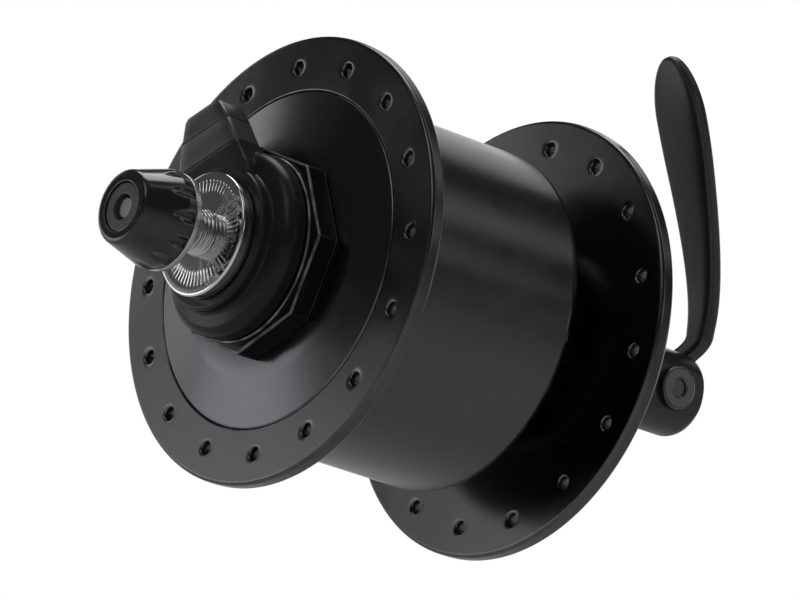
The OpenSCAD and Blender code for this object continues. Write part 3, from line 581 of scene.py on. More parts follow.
class Effects:
    """Node groups shared by the finishes. Each takes a place, some a number too, and gives a value."""

    def __init__(self) -> None:
        """Makes every group once."""
        self.grain = self._group("fine_grain", self._grain, "Scale")
        self.rings = self._group("turning_rings", self._rings, "Scale")
        self.smudges = self._group("handling_marks", self._smudges)
        self.scratches = self._group("fine_scratches", self._scratches)
        # The edge group lightens outward edges: partly wearing, partly a painted edge highlight.
        self.edges = self._group("edge_wear_and_highlight", self._edges, "Edge")
        self.dust = self._group("settled_dust", self._dust, "Edge")

    @staticmethod
    def _group(name: str, build: Callable[..., Value], *numbers: str) -> bpy.types.NodeTree:
        """Makes one group.

        Args:
            name: Name of the group.
            build: Adds its nodes, given the graph, the place and the numbers.
            numbers: Names of the inputs that it has beside its place.

        Returns:
            The group, with a single output called Value.
        """
        tree = bpy.data.node_groups.new(name, "ShaderNodeTree")
        tree.interface.new_socket("Vector", in_out="INPUT", socket_type="NodeSocketVector")
        for number in numbers:
            tree.interface.new_socket(number, in_out="INPUT", socket_type="NodeSocketFloat")
        tree.interface.new_socket("Value", in_out="OUTPUT", socket_type="NodeSocketFloat")
        given = tree.nodes.new("NodeGroupInput").outputs
        result = build(Graph(tree), *(Value(given[key]) for key in ("Vector", *numbers)))
        tree.links.new(result.socket, tree.nodes.new("NodeGroupOutput").inputs["Value"])
        return tree

    @staticmethod
    def _grain(g: Graph, at: Value, scale: Value) -> Value:
        """Even noise at two sizes, the finer one less than half as strong."""
        return g.noise(at, scale) * 0.7 + g.noise(at, scale * 2.7) * 0.3

    @staticmethod
    def _rings(g: Graph, at: Value, scale: Value) -> Value:
        """One-dimensional noise of the distance from the axle plus the place along it.

        Args:
            g: Graph of the group.
            at: Place on the piece.
            scale: Rings in a metre.

        Returns:
            A value from 0 to 1.
        """
        x, y, z = g.parts(at)
        place = ((x * x + z * z).root() + y * 1.07) * scale
        inputs = {"W": place, "Scale": 1.0, "Detail": 3.0, "Roughness": 0.65}
        return g.add("TexNoise", inputs, noise_dimensions="1D")

    @staticmethod
    def _smudges(g: Graph, at: Value) -> Value:
        """Large soft patches where hands have been, broken up by a finer noise."""
        large, small = g.noise(at, 55.0, 3.0, Distortion=0.6), g.noise(at, 420.0)
        return large.step(0.38, 0.68) * small.step(0.25, 0.75, 0.6)

    @staticmethod
    def _scratches(g: Graph, at: Value) -> Value:
        """Hair lines: the thin borders between stretched cells, kept only here and there.

        Args:
            g: Graph of the group.
            at: Place on the piece.

        Returns:
            1 on a hair line and 0 off it.
        """
        bent = g.add("Mapping", {0: at, 2: (0.5, 0.35, 0.8), 3: (1.0, 6.0, 1.0)})
        away = g.add("TexVoronoi", {"Vector": bent, "Scale": 110.0}, "Distance", feature="DISTANCE_TO_EDGE")
        return away.step(0.0, 0.012, 1.0, 0.0) * g.noise(at, 160.0).step(0.52, 0.66)

    @staticmethod
    def _edges(g: Graph, at: Value, edge: Value) -> Value:
        """Where the surface curves tightly outward, rubbed through unevenly; the lighter edges are partly
        painted highlight.
        """
        return edge.step(0.6, 3.2) * g.noise(at, 260.0, 4.0).step(0.35, 0.62, 0.25)

    @staticmethod
    def _dust(g: Graph, at: Value, edge: Value) -> Value:
        """Fine dust that lies in patches and is wiped from the edges that stand out."""
        cloud, speck = g.noise(at, 90.0, 5.0, Roughness=0.7), g.noise(at, 2600.0)
        return cloud.step(0.42, 0.72) * speck.step(0.5, 0.72, 0.15) * edge.step(0.1, 0.8, 1.0, 0.2)


DUST = (0.34, 0.33, 0.31, 1.0)
WHITE = (1.0, 1.0, 1.0, 1.0)


class Grain(Enum):
    """What covers a surface at close range."""

    EVEN = "even"          # the fine tooth of an anodised, painted, rubber or fired face
    TURNED = "turned"      # the rings that a lathe tool leaves
    GROUND = "ground"      # short marks along one direction
    MOULDED = "moulded"    # the spark-worn skin of a moulding
    WOUND = "wound"        # turns of fine wire


@dataclass(frozen=True)
class Finish:
    """One finish, with the facts that its node material is made from.

    Attributes:
        name: Plain name of the finish.
        slot: The record's material slot it belongs to. Not used.
        colour: Base colour, linear.
        metallic: How far it behaves as bare metal.
        roughness: Middle value of its roughness.
        grain: What covers it at close range.
        size: Size of the grain in millimetres.
        depth: Height of the grain in millimetres.
        tone: How far the colour varies over it.
        spread: How far the roughness varies over it.
        wear_and_highlight: How much of the edge wearing and the painted edge highlight shows.
        worn_and_lit: Colour that edge wearing, the painted edge highlight and scratches show, linear.
        dust: How much dust lies on it.
        scratches: How much the hair lines show.
        coat: Weight of a clear coat.
        specular: Strength of the plain reflection.
    """

    name: str
    slot: str
    colour: tuple[float, float, float]
    metallic: float
    roughness: float
    grain: Grain
    size: float
    depth: float
    tone: float = 0.15
    spread: float = 0.06
    wear_and_highlight: float = 0.0
    worn_and_lit: tuple[float, float, float] = (0.5, 0.5, 0.5)
    dust: float = 0.0
    scratches: float = 0.0
    coat: float = 0.0
    specular: float = 0.5

    def material(self, effects: Effects) -> bpy.types.Material:
        """Builds the node material of this finish, or finds it where it is already built.

        Args:
            effects: The shared node groups.

        Returns:
            The material.
        """
        made = bpy.data.materials.get(self.name)
        if made is not None:
            return made
        made = bpy.data.materials.new(self.name)
        g = Graph.of(made)
        at = g.add("TexCoord", result="Object")
        edge = g.add("Attribute", result="Fac", attribute_name="edge")
        grain, smudge = self._grain(g, effects, at), g.use(effects.smudges, Vector=at)
        colour = g.blend(smudge * 0.5, self._tint(1.0), self._tint(1.0 + self.tone))
        colour = g.blend(grain * self.tone, colour, self._tint(0.7))
        rough = smudge * self.spread + (self.roughness - self.spread * 0.5)
        rough = rough + (grain - 0.5) * (self.spread * 0.8)
        metal: object = self.metallic
        height = grain
        # Outward edges turn lighter: partly wearing, partly a painted edge highlight.
        if self.wear_and_highlight > 0:
            worn_and_lit = g.use(effects.edges, Vector=at, Edge=edge) * self.wear_and_highlight
            colour = g.blend(worn_and_lit, colour, (*self.worn_and_lit, 1.0))
            metal = worn_and_lit * (1.0 - self.metallic) + self.metallic
        if self.scratches > 0:
            line = g.use(effects.scratches, Vector=at) * self.scratches
            colour = g.blend(line * 0.35, colour, (*self.worn_and_lit, 1.0))
            rough, height = rough + line * 0.2, grain - line * 0.6
        if self.dust > 0:
            dust = g.use(effects.dust, Vector=at, Edge=edge) * self.dust
            colour, rough = g.blend(dust, colour, DUST), rough + dust * 0.5
        bump = g.add("Bump", {"Height": height, "Strength": 1.0, "Distance": self.depth * MM})
        shader = g.add("BsdfPrincipled", {
            "Base Color": colour, "Metallic": metal, "Roughness": rough.at_least(0.03), "Normal": bump,
            "Specular IOR Level": self.specular, "Coat Weight": self.coat, "Coat Roughness": 0.12})
        g.node("OutputMaterial", {"Surface": shader})
        return made

    def _tint(self, gain: float) -> tuple[float, float, float, float]:
        """Base colour made lighter or darker by a gain."""
        return (*[min(c * gain, 1.0) for c in self.colour], 1.0)

    def _grain(self, g: Graph, effects: Effects, at: Value) -> Value:
        """Adds the close-range pattern of this finish.

        Args:
            g: Node tree of the finish.
            effects: The shared node groups.
            at: Place on the piece.

        Returns:
            A value round 0.5.
        """
        scale = 1.0 / (self.size * MM)
        if self.grain is Grain.TURNED:
            return g.use(effects.rings, Vector=at, Scale=scale)
        if self.grain is Grain.WOUND:
            wave = {"Vector": at, "Scale": scale / TURN, "Distortion": 0.4, "Detail": 1.0}
            return g.add("TexWave", wave, "Fac", bands_direction="Y", wave_profile="SIN")
        if self.grain is Grain.MOULDED:
            return (1.0 - g.add("TexVoronoi", {"Vector": at, "Scale": scale}, "Distance")).at_least(0.0)
        if self.grain is Grain.GROUND:
            at = g.add("Mapping", {0: at, 3: (1.0, 9.0, 0.12)})
        return g.use(effects.grain, Vector=at, Scale=scale)


SHELL = Finish(
    "satin_charcoal_shell", "shell_metal", (0.088, 0.089, 0.093), 1.0, 0.25, Grain.EVEN, 0.16, 0.004,
    tone=0.18, wear_and_highlight=0.5, worn_and_lit=(0.30, 0.30, 0.31), dust=0.02, scratches=0.15)
COVER = Finish(
    "satin_charcoal_cover", "shell_metal", (0.092, 0.094, 0.100), 1.0, 0.22, Grain.TURNED, 0.22, 0.0025,
    tone=0.16, spread=0.05, wear_and_highlight=0.5, worn_and_lit=(0.30, 0.30, 0.31), dust=0.02, scratches=0.12)
# Its strong edge wearing with a pale edge colour gives light lines along the ring's edges: partly wearing,
# partly painted highlight.
LOCK_RING = Finish(
    "black_lock_ring", "ring_metal", (0.005, 0.005, 0.006), 0.2, 0.2, Grain.TURNED, 0.25, 0.002, wear_and_highlight=0.7,
    worn_and_lit=(0.30, 0.30, 0.32), dust=0.03, scratches=0.15, coat=0.08, specular=0.15)
BLACK_ALLOY = Finish(
    "gloss_black_alloy", "black_gloss", (0.007, 0.007, 0.008), 0.1, 0.17, Grain.EVEN, 0.3, 0.0015, tone=0.2,
    spread=0.08, wear_and_highlight=0.5, worn_and_lit=(0.22, 0.22, 0.23), dust=0.04, scratches=0.35, coat=0.35)
SATIN_ALLOY = Finish(
    "satin_black_alloy", "black_gloss", (0.050, 0.050, 0.053), 0.85, 0.34, Grain.EVEN, 0.2, 0.003, tone=0.2,
    spread=0.08, wear_and_highlight=0.45, worn_and_lit=(0.26, 0.26, 0.27), dust=0.05, scratches=0.3)
POLISHED = Finish(
    "polished_steel", "polished_steel", (0.50, 0.50, 0.51), 1.0, 0.18, Grain.TURNED, 0.3, 0.0006, tone=0.06,
    spread=0.05, scratches=0.08, worn_and_lit=(0.6, 0.6, 0.6))
BLACKENED = Finish(
    "blackened_steel", "polished_steel", (0.09, 0.09, 0.095), 1.0, 0.3, Grain.TURNED, 0.3, 0.001, tone=0.1,
    spread=0.08, scratches=0.2, worn_and_lit=(0.3, 0.3, 0.3))
STEEL = Finish(
    "turned_steel", "steel", (0.52, 0.52, 0.53), 1.0, 0.26, Grain.TURNED, 0.25, 0.0012, tone=0.1, spread=0.08,
    scratches=0.12, worn_and_lit=(0.7, 0.7, 0.7), dust=0.03)
SPRING = Finish("spring_wire", "steel", (0.42, 0.42, 0.43), 1.0, 0.22, Grain.GROUND, 0.12, 0.001, tone=0.1)
RACE = Finish("ground_race", "steel", (0.60, 0.60, 0.61), 1.0, 0.12, Grain.GROUND, 0.10, 0.0008, tone=0.05)
BALL = Finish(
    "ball_steel", "polished_steel", (0.74, 0.74, 0.75), 1.0, 0.06, Grain.EVEN, 0.25, 0.0003, tone=0.03,
    spread=0.03)
YOKE = Finish(
    "stamped_yoke_iron", "yoke_iron", (0.36, 0.35, 0.34), 1.0, 0.42, Grain.GROUND, 0.3, 0.004, tone=0.25,
    spread=0.15)
FERRITE = Finish(
    "fired_ferrite", "ferrite", (0.042, 0.042, 0.045), 0.0, 0.62, Grain.EVEN, 0.22, 0.01, tone=0.3,
    spread=0.1)
BRASS = Finish("pressed_brass", "brass", (0.62, 0.42, 0.16), 1.0, 0.28, Grain.GROUND, 0.16, 0.002, spread=0.1)
COPPER = Finish(
    "enamelled_copper", "copper", (0.56, 0.20, 0.07), 0.85, 0.26, Grain.WOUND, 0.5, 0.12, tone=0.3,
    spread=0.08, coat=0.4)
SPOOL = Finish(
    "natural_spool_plastic", "spool_plastic", (0.68, 0.65, 0.56), 0.0, 0.45, Grain.MOULDED, 0.35, 0.004,
    tone=0.08)
INSERT = Finish(
    "grey_insert", "spool_plastic", (0.030, 0.030, 0.032), 0.0, 0.35, Grain.TURNED, 0.2, 0.002, tone=0.08)
TERMINAL = Finish(
    "black_terminal_plastic", "black_plastic", (0.008, 0.008, 0.009), 0.0, 0.28, Grain.MOULDED, 0.28, 0.003,
    tone=0.2, spread=0.08, wear_and_highlight=0.25, worn_and_lit=(0.06, 0.06, 0.06), dust=0.04, scratches=0.15, specular=0.2)
PLUG = Finish(
    "grey_plug_plastic", "grey_plastic", (0.022, 0.022, 0.024), 0.0, 0.32, Grain.MOULDED, 0.25, 0.003,
    spread=0.08, wear_and_highlight=0.3, worn_and_lit=(0.11, 0.11, 0.12), dust=0.05, scratches=0.2)
CAP = Finish(
    "dark_cap_plastic", "grey_plastic", (0.016, 0.016, 0.018), 0.0, 0.32, Grain.MOULDED, 0.25, 0.003,
    spread=0.08, wear_and_highlight=0.3, worn_and_lit=(0.09, 0.09, 0.10), dust=0.05, scratches=0.2)
LEAD = Finish("red_lead_sleeve", "lead_sleeve", (0.42, 0.025, 0.02), 0.0, 0.4, Grain.EVEN, 0.3, 0.003)
RUBBER = Finish(
    "black_seal_rubber", "rubber", (0.017, 0.017, 0.017), 0.0, 0.62, Grain.EVEN, 0.2, 0.006, tone=0.25,
    spread=0.1, dust=0.15, specular=0.35)


class Fitter:
    """Puts finished pieces on their bodies and gives carried-over solids their finish."""

    def __init__(self) -> None:
        """Makes the shared node groups."""
        self.effects = Effects()

    def _paint(self, thing: Piece, finish: Finish) -> None:
        """Makes a finish the only material of a piece or solid."""
        thing.data.materials.clear()
        thing.data.materials.append(finish.material(self.effects))

    def fit(self, piece: Piece, node: str, finish: Finish) -> None:
        """Gives a new piece its finish and lets it stand for a solid.

        Args:
            piece: The new piece, already in place.
            node: The solid that it replaces.
            finish: Its finish.
        """
        self._paint(piece, finish)
        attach(piece, frame["nodes"][node]["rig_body"])
        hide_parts(node)
        log.info("%s stands for %s: %d faces, %s", piece.name, node, len(piece.data.polygons), finish.name)

    def dress(self, finish: Finish, *nodes: str) -> None:
        """Gives carried-over solids their finish.

        Args:
            finish: Their finish.
            nodes: Names of the solids.
        """
        for node in nodes:
            self._paint(frame["nodes"][node], finish)
            log.info("%s keeps its solid, finished in %s", node, finish.name)


# The shell that turns with the wheel

@dataclass
class TurningShell:
    """Shell with its flanges and drum, the cover plate, its lock ring and the dust cap."""

    flange_r: float = 45.0
    flange_t: float = 3.2
    flange_ease: float = 0.75
    right_face: float = -31.0
    left_in: float = 29.4
    drum_r: float = 34.9
    drum_end: float = 17.7
    neck_r: float = 19.0
    boss_r: float = 17.5
    boss_end: float = 41.3
    bore_r: float = 11.0
    cup_r: float = 14.03
    cup_in: float = 33.05
    web_in: float = 31.65
    room_r: float = 15.5
    room_in: float = 14.2
    magnet_r: float = 30.9
    iron_r: float = 32.2
    iron_end: float = 9.05
    rebate_r: float = 34.0
    rebate: float = -28.95
    cover_r: float = 33.85
    cover_seat: float = -29.0
    spigot_r: float = 32.17
    spigot_bore: float = 29.57
    spigot_end: float = -24.5
    dish_r: float = 21.0
    web_r: float = 18.5
    right_web: float = -29.75
    right_cup: float = -31.95
    collar_r: float = 17.0
    collar_end: float = -38.1
    shoulder_r: float = 22.6
    shoulder: float = -33.2
    spoke_circle_r: float = 39.0
    spoke_hole_r: float = 1.3
    countersink: float = 0.45
    spoke_holes: int = 16
    right_turn: float = 7.0
    left_turn: float = -4.25
    ring_in: float = 36.3
    ring_out: float = 42.2
    octagon_r: float = 21.0
    octagon_corner: float = 0.9
    octagon_in: float = -33.25
    octagon_out: float = -38.05
    octagon_bore: float = 17.03
    nose_r: float = 18.8
    nose_bore: float = 15.0
    nose_in: float = -38.15
    nose_out: float = -38.95
    cap_bore: float = 8.3
    cap_in: float = 41.35
    cap_out: float = 42.5
    skirt_r: float = 14.0
    skirt_bore: float = 12.5
    skirt_end: float = 39.25

    def flange_rim(self, face: float) -> Array:
        """Profile chain of a flange outside its holes, from its right-hand face round to the other.

        Args:
            face: Where its right-hand face lies along the axle.

        Returns:
            Rows of radius and place along the axle.
        """
        other, ease_r = face + self.flange_t, self.flange_ease
        return rounded([(self.ring_out, face, 0), (self.flange_r, other, ease_r, ease_r),
                        (self.ring_out, other, 0)], closed=False, longest=6.0)

    def shell_chains(self) -> list[Array]:
        """Profile chains of the shell: both rims, the outside between the flanges and the inside.

        Returns:
            Four chains, as rows of radius and place along the axle.
        """
        right_in, left_out = self.right_face + self.flange_t, self.left_in + self.flange_t
        outside = [
            (self.ring_in, right_in, 0), (self.drum_r, self.drum_end, 1.4, 2.6),
            (self.neck_r, self.left_in, 2.8, 2.8), (self.ring_in, self.left_in, 0)]
        inside = [
            (self.ring_in, left_out, 0), (self.boss_r, self.boss_end, 1.4, 0.6),
            (self.cup_r, self.cup_in, 0.25, 0), (self.bore_r, self.web_in, 0, 0),
            (self.room_r, self.room_in, 0, 0), (self.magnet_r, self.iron_end, 0, 0),
            (self.iron_r, self.rebate, 0, 0), (self.rebate_r, self.right_face, 0, 0.25),
            (self.ring_in, self.right_face, 0)]
        return [self.flange_rim(self.right_face), rounded(outside, closed=False, steps=8, longest=6.0),
                self.flange_rim(self.left_in), rounded(inside, closed=False, longest=6.0)]

    def hole_patches(self, turn: float, face: float, side: int = 12) -> Array:
        """The flange round each spoke hole, from one face through the hole to the other.

        Rows start on the border of the hole's share of the ring, close in on the hole's countersunk
        mouth, follow its wall through and open out again on the other face.

        Args:
            turn: Angle of the first hole, in degrees.
            face: Where the flange's right-hand face lies along the axle.
            side: Points along each of the share's four sides.

        Returns:
            Holes, rows, columns and coordinates.
        """
        share = math.radians(360 / self.spoke_holes)
        middle = math.radians(turn) + np.arange(self.spoke_holes)[:, None, None] * share
        step, span = np.linspace(0, 1, side + 1)[:-1], self.ring_out - self.ring_in
        angle = np.concatenate([step - 0.5, np.full(side, 0.5), 0.5 - step, np.full(side, -0.5)]) * share
        radius = np.concatenate([np.full(side, self.ring_in), self.ring_in + step * span,
                                 np.full(side, self.ring_out), self.ring_out - step * span])
        border_x, border_z = radius * np.cos(middle + angle), radius * np.sin(middle + angle)
        close = np.array([0.0, 0.3, 0.6, 0.85, 1.0, 1.0, 1.0, 1.0, 1.0])
        mouth = np.pad([0.3, 0.17, 0.06, 0.0], (5, 0), constant_values=self.countersink)
        sink = np.pad([0.04, 0.12, 0.26, self.countersink], (5, 0))
        ring = (self.spoke_hole_r + np.concatenate([mouth, mouth[::-1]]))[:, None]
        place = np.concatenate([face + sink, face + self.flange_t - sink[::-1]])[:, None]
        toward = np.concatenate([close, close[::-1]])[:, None]
        around = -math.radians(135) - turn_angles(4 * side)
        out, aside = self.spoke_circle_r + ring * np.cos(around), ring * np.sin(around)
        x, z = out * np.cos(middle) - aside * np.sin(middle), out * np.sin(middle) + aside * np.cos(middle)
        x, z = border_x + (x - border_x) * toward, border_z + (z - border_z) * toward
        return np.stack([x, np.broadcast_to(place, x.shape), z], -1)

    def shell(self) -> Piece:
        """Shell: the chains carried round the axle and the holed rings of both flanges.

        Returns:
            The piece.
        """
        skin = Skin()
        for chain in self.shell_chains():
            skin.grid(revolve(chain, turn_angles(192, self.left_turn)))
        right = self.hole_patches(self.right_turn, self.right_face)
        left = self.hole_patches(self.left_turn, self.left_in)
        for patch in (*right, *left):
            skin.grid(patch)
        return skin.piece("shell_body")

    def cover(self) -> Piece:
        """Cover plate: a shallow cone with a crowned shoulder, a neck and the spigot inside the drum.

        Returns:
            The piece.
        """
        line = rounded([
            (self.cover_r, self.right_face, 0.45), (self.cover_r, self.cover_seat, 0.1),
            (self.spigot_r, self.spigot_end, 0.1, 0.5), (self.spigot_bore, self.cover_seat, 0.3, 0.3),
            (self.dish_r, self.right_face, 0.5), (self.web_r, self.right_web, 0.4),
            (self.bore_r, self.right_cup, 0, 0), (self.cup_r, self.collar_end, 0, 0),
            (self.collar_r, self.shoulder, 0.5, 0.8), (self.shoulder_r, self.shoulder, 25.0)])
        return turned("cover_cone", line, 192)

    def lock_ring(self) -> Piece:
        """Lock ring: an eight-sided wall with rounded corners and a round step on its outer end.

        A row keeps its radius up to the step, is pulled in between, and near the wall is moved by the
        difference between the octagon and its corner radius.

        Returns:
            The piece.
        """
        wall = Polygon(8, self.right_turn, self.octagon_r * math.cos(math.pi / 8), self.octagon_corner)
        low, high = self.nose_r, self.octagon_r - 0.5

        def octagon(r: Array, y: Array, a: Array) -> tuple[Array, Array]:
            """Moves the outer wall onto the octagon.

            Args:
                r: Radii of the points.
                y: Their places along the axle.
                a: Their angles round it, in radians.

            Returns:
                Radii and places along the axle.
            """
            shift = wall.radius(a) - self.octagon_r
            pulled = low + (r - low) * (high + shift - low) / (high - low)
            return np.where(r <= low, r, np.where(r < high, pulled, r + shift)), y

        line = rounded([
            (self.octagon_bore, self.octagon_in, 0.1), (self.octagon_r, self.octagon_out, 0.35, 0.45),
            (self.nose_r, self.nose_out, 0.15, 0.35), (self.nose_bore, self.nose_in, 0.3, 0.05),
            (self.octagon_bore, self.nose_in, 0.05)])
        return Skin().grid(revolve(line, wall.angles(14), octagon), closed=True).piece("lock_ring_octagon")

    def dust_cap(self) -> Piece:
        """Dust cap: a flat ring with a rolled outer edge and the skirt that enters the boss.

        Returns:
            The piece.
        """
        line = rounded([(self.cap_bore, self.cap_out, 0, 0.2), (self.boss_r, self.cap_in, 0.5, 0.1),
                        (self.skirt_r, self.skirt_end, 0, 0.2), (self.skirt_bore, self.cap_in, 0.1, 0)])
        return turned("dust_cap_ring", line, 144)

    def build(self, fitter: Fitter) -> None:
        """Builds and dresses everything that turns with the wheel.

        Args:
            fitter: Puts the finished pieces on their bodies.
        """
        fitter.fit(self.shell(), "hub_shell", SHELL)
        fitter.fit(self.cover(), "cover_plate", COVER)
        fitter.fit(self.lock_ring(), "octagon_lock_ring", LOCK_RING)
        fitter.fit(self.dust_cap(), "left_dust_cap", LOCK_RING)
        fitter.dress(RUBBER, "right_grease_seal")
        fitter.dress(YOKE, "back_iron_ring")
        fitter.dress(FERRITE, "magnet_segments")
        fitter.dress(RACE, "left_bearing_cup", "right_bearing_cup")
        fitter.dress(BALL, "left_balls", "right_balls")
        fitter.dress(BRASS, "left_ball_retainer", "right_ball_retainer")


# The axle and what stands still on it

def teeth(r: Array, a: Array, count: int, low: float, high: float, depth: float) -> Array:
    """Depth of radial teeth pressed into a face: a cosine round the axle, faded out past two radii."""
    inside = ease((r - low) / 0.5) * ease((high - r) / 0.5)
    return depth * inside * (0.5 - 0.5 * np.cos(count * a))


@dataclass
class AxleAssembly:
    """Axle with its nuts, spacer and seal, the terminal ring and the generator's fixed parts."""

    half_width: float = 50.0
    stub: float = 4.0
    axle_r: float = 4.5
    bore_r: float = 2.85
    chamfer: float = 0.6
    thread_from: float = 45.2
    thread_pitch: float = 1.0
    thread_depth: float = 0.42
    thread_form: float = 0.8
    thread_fade: float = 0.6
    thread_rows: int = 90
    plain_tip: float = 0.45
    tip_fade: float = 0.4
    plain_half: float = 40.0
    bore_ease: float = 0.2
    clear_r: float = 4.55
    nut_across: float = 17.0
    nut_corner: float = 0.3
    nut_in: float = 45.5
    nut_seat: float = 45.45
    nut_face_r: float = 7.9
    nut_blank_r: float = 9.9
    nut_foot_r: float = 7.8
    nut_shoulder: float = 48.6
    nut_foot: float = 46.1
    nut_mouth_r: float = 4.7
    face_cone_r: float = 8.15
    face_cone: float = 1.7
    foot_cone_r: float = 9.35
    foot_cone: float = 1.6
    nut_teeth: int = 36
    nut_teeth_r: float = 5.2
    nut_bite: float = 0.2
    end_nut_r: float = 12.4
    end_nut_in: float = -47.3
    end_face_in: float = 5.4
    end_face_out: float = 10.6
    end_teeth: int = 60
    end_teeth_in: float = 7.8
    end_teeth_out: float = 10.9
    end_bite: float = 0.05
    collar_r: float = 9.0
    spacer_r: float = 8.0
    spacer_in: float = 43.75
    seal_bore: float = 8.05
    seal_in: float = 42.8
    seal_out: float = 44.5
    seal_r: float = 9.9
    lip_r: float = 13.4
    lip_out_r: float = 13.25
    lip_out: float = 43.35
    groove_r: float = 11.9
    groove_in: float = 43.45
    back_r: float = 11.3
    back_in: float = 44.1
    terminal_r: float = 18.6
    terminal_in: float = -39.4
    nose_r: float = 14.4
    nose_out: float = -47.1
    nut_room_r: float = 9.3
    nut_room: float = -45.4
    cone_room: float = -43.05
    cup_room_r: float = 12.5
    cup_room: float = -40.3
    step_in: float = -43.42
    step_out: float = -44.6
    block_y: float = -43.38
    block_deep: float = 3.66
    block_corner: float = 0.7
    block_edge: float = 0.55
    block_outline: tuple[tuple[float, float], ...] = (
        (7.9, 11.3), (11.4, 11.3), (12.4, 10.9), (16.6, 9.45), (17.8, 9.2))

    def axle(self) -> Piece:
        """Axle: a bored rod with a thread on each end.

        The thread lowers the radius by a cosine of the place along the axle less the angle round it,
        and fades out at the chamfer and behind the nuts.

        Returns:
            The piece.
        """
        end, lip = self.half_width + self.stub, self.axle_r - self.chamfer

        def thread(r: Array, y: Array, a: Array) -> tuple[Array, Array]:
            """Cuts the thread into the outer wall.

            Args:
                r: Radii of the points.
                y: Their places along the axle.
                a: Their angles round it, in radians.

            Returns:
                Radii and places along the axle.
            """
            on = ease((np.abs(y) - self.thread_from) / self.thread_fade)
            on = on * ease((end - self.plain_tip - np.abs(y)) / self.tip_fade)
            wave = 0.5 + 0.5 * np.cos(TURN * y / self.thread_pitch - a)
            return r - self.thread_depth * on * (r > lip) * wave ** self.thread_form, y

        near = np.linspace(end - self.chamfer, self.thread_from, self.thread_rows)
        along = np.concatenate([near, [self.plain_half, -self.plain_half], -near[::-1]])
        wall = np.stack([np.full(len(along), self.axle_r), along], 1)
        inner, mouth = end - self.bore_ease, self.bore_r + self.bore_ease
        line = np.vstack([[[self.bore_r, -inner], [self.bore_r, inner], [mouth, end], [lip, end]],
                          wall, [[lip, -end], [mouth, -end]]])
        return turned("axle_threaded", line, 60, thread)

    def locknut(self) -> Piece:
        """Locknut: a hexagon cut back by a cone at each end, with teeth on its clamping face.

        Returns:
            The piece.
        """
        flats = Polygon(6, 0.0, self.nut_across / 2, self.nut_corner)
        low, top, out = self.nut_in, self.half_width, self.nut_blank_r

        def hexagon(r: Array, y: Array, a: Array) -> tuple[Array, Array]:
            """Takes the least of the hexagon and the two cones, and presses in the teeth.

            Args:
                r: Radii of the points.
                y: Their places along the axle.
                a: Their angles round it, in radians.

            Returns:
                Radii and places along the axle.
            """
            cones = soft_min(self.face_cone_r + (top - y) * self.face_cone,
                             self.foot_cone_r + (y - low) * self.foot_cone, 0.15)
            wall = soft_min(flats.radius(a), cones, 0.12)
            cut = teeth(r, a, self.nut_teeth, self.nut_teeth_r, self.nut_face_r, self.nut_bite)
            return r + (wall - r) * ease((r - 8.0) / 0.6), y - cut * (y > top - 0.01)

        wall = np.stack([np.full(12, out), np.linspace(top, self.nut_shoulder, 12)], 1)
        foot = np.stack([np.full(6, out), np.linspace(self.nut_foot, low, 6)], 1)
        face = np.linspace(self.nut_mouth_r + 0.1, self.nut_face_r, 12)
        face = np.stack([face, np.full(12, top)], 1)
        bore = [[self.clear_r, low], [self.clear_r, top - 0.2], [self.nut_mouth_r, top]]
        line = np.vstack([bore, face, wall, foot, [[self.nut_foot_r, low]]])
        return turned("locknut_hexagon", line, 288, hexagon)

    def end_nut(self) -> Piece:
        """Round end nut on the connector side: a polished rim round a toothed face, and a collar behind.

        Returns:
            The piece.
        """
        face = -self.half_width

        def toothed(r: Array, y: Array, a: Array) -> tuple[Array, Array]:
            """Presses the teeth into the clamping face."""
            cut = teeth(r, a, self.end_teeth, self.end_teeth_in, self.end_teeth_out, self.end_bite)
            return r, y + cut * (y < face + 0.01)

        line = rounded([
            (self.clear_r, face, 0.1), (self.end_face_in, face, 0), (self.end_face_out, face, 0),
            (self.end_nut_r, self.end_nut_in, 0.4, 0.3),
            (self.collar_r, -self.nut_seat, 0.1, 0.3), (self.clear_r, -self.nut_seat, 0.1)], longest=0.5)
        return turned("end_nut_round", line, 288, toothed)

    def spacer(self) -> Piece:
        """Spacer between cone and locknut, with eased edges.

        Returns:
            The piece.
        """
        line = rounded([(self.clear_r, self.spacer_in, 0.1), (self.spacer_r, self.nut_seat, 0.3, 0.3),
                        (self.clear_r, self.nut_seat, 0.1)])
        return turned("spacer_ring", line, 96)

    def seal(self) -> Piece:
        """Rubber seal: a skirt that thins towards its lip, with a groove behind the lip.

        Returns:
            The piece.
        """
        line = rounded([
            (self.seal_bore, self.seal_in, 0.1), (self.lip_r, self.seal_in, 0.15),
            (self.lip_out_r, self.lip_out, 0.25), (self.groove_r, self.groove_in, 0.3),
            (self.back_r, self.back_in, 0.3), (self.seal_r, self.seal_out, 0.35),
            (self.seal_bore, self.seal_out, 0.25)])
        return turned("rubber_seal_skirt", line, 128)

    def terminal(self) -> Piece:
        """Terminal ring: a stepped round moulding, with the block that takes the plug on its upper side.

        Returns:
            The piece.
        """
        line = rounded([
            (self.terminal_r, self.step_in, 0.5, 2.4), (self.nose_r, self.step_out, 0.6),
            (self.nose_r, self.nose_out, 0.6),
            (self.nut_room_r, self.nut_room, 0.2, 0), (self.clear_r, self.cone_room, 0, 0),
            (self.seal_bore, self.cup_room, 0, 0), (self.cup_room_r, self.terminal_in, 0, 0.1)])
        rows = [(z, half, self.block_deep, self.block_corner) for z, half in self.block_outline]
        block = stacked(rows, self.block_edge, self.block_y)
        skin = Skin().grid(revolve(line, turn_angles(160)), closed=True)
        return skin.grid(leaned(block)).piece("terminal_moulding")

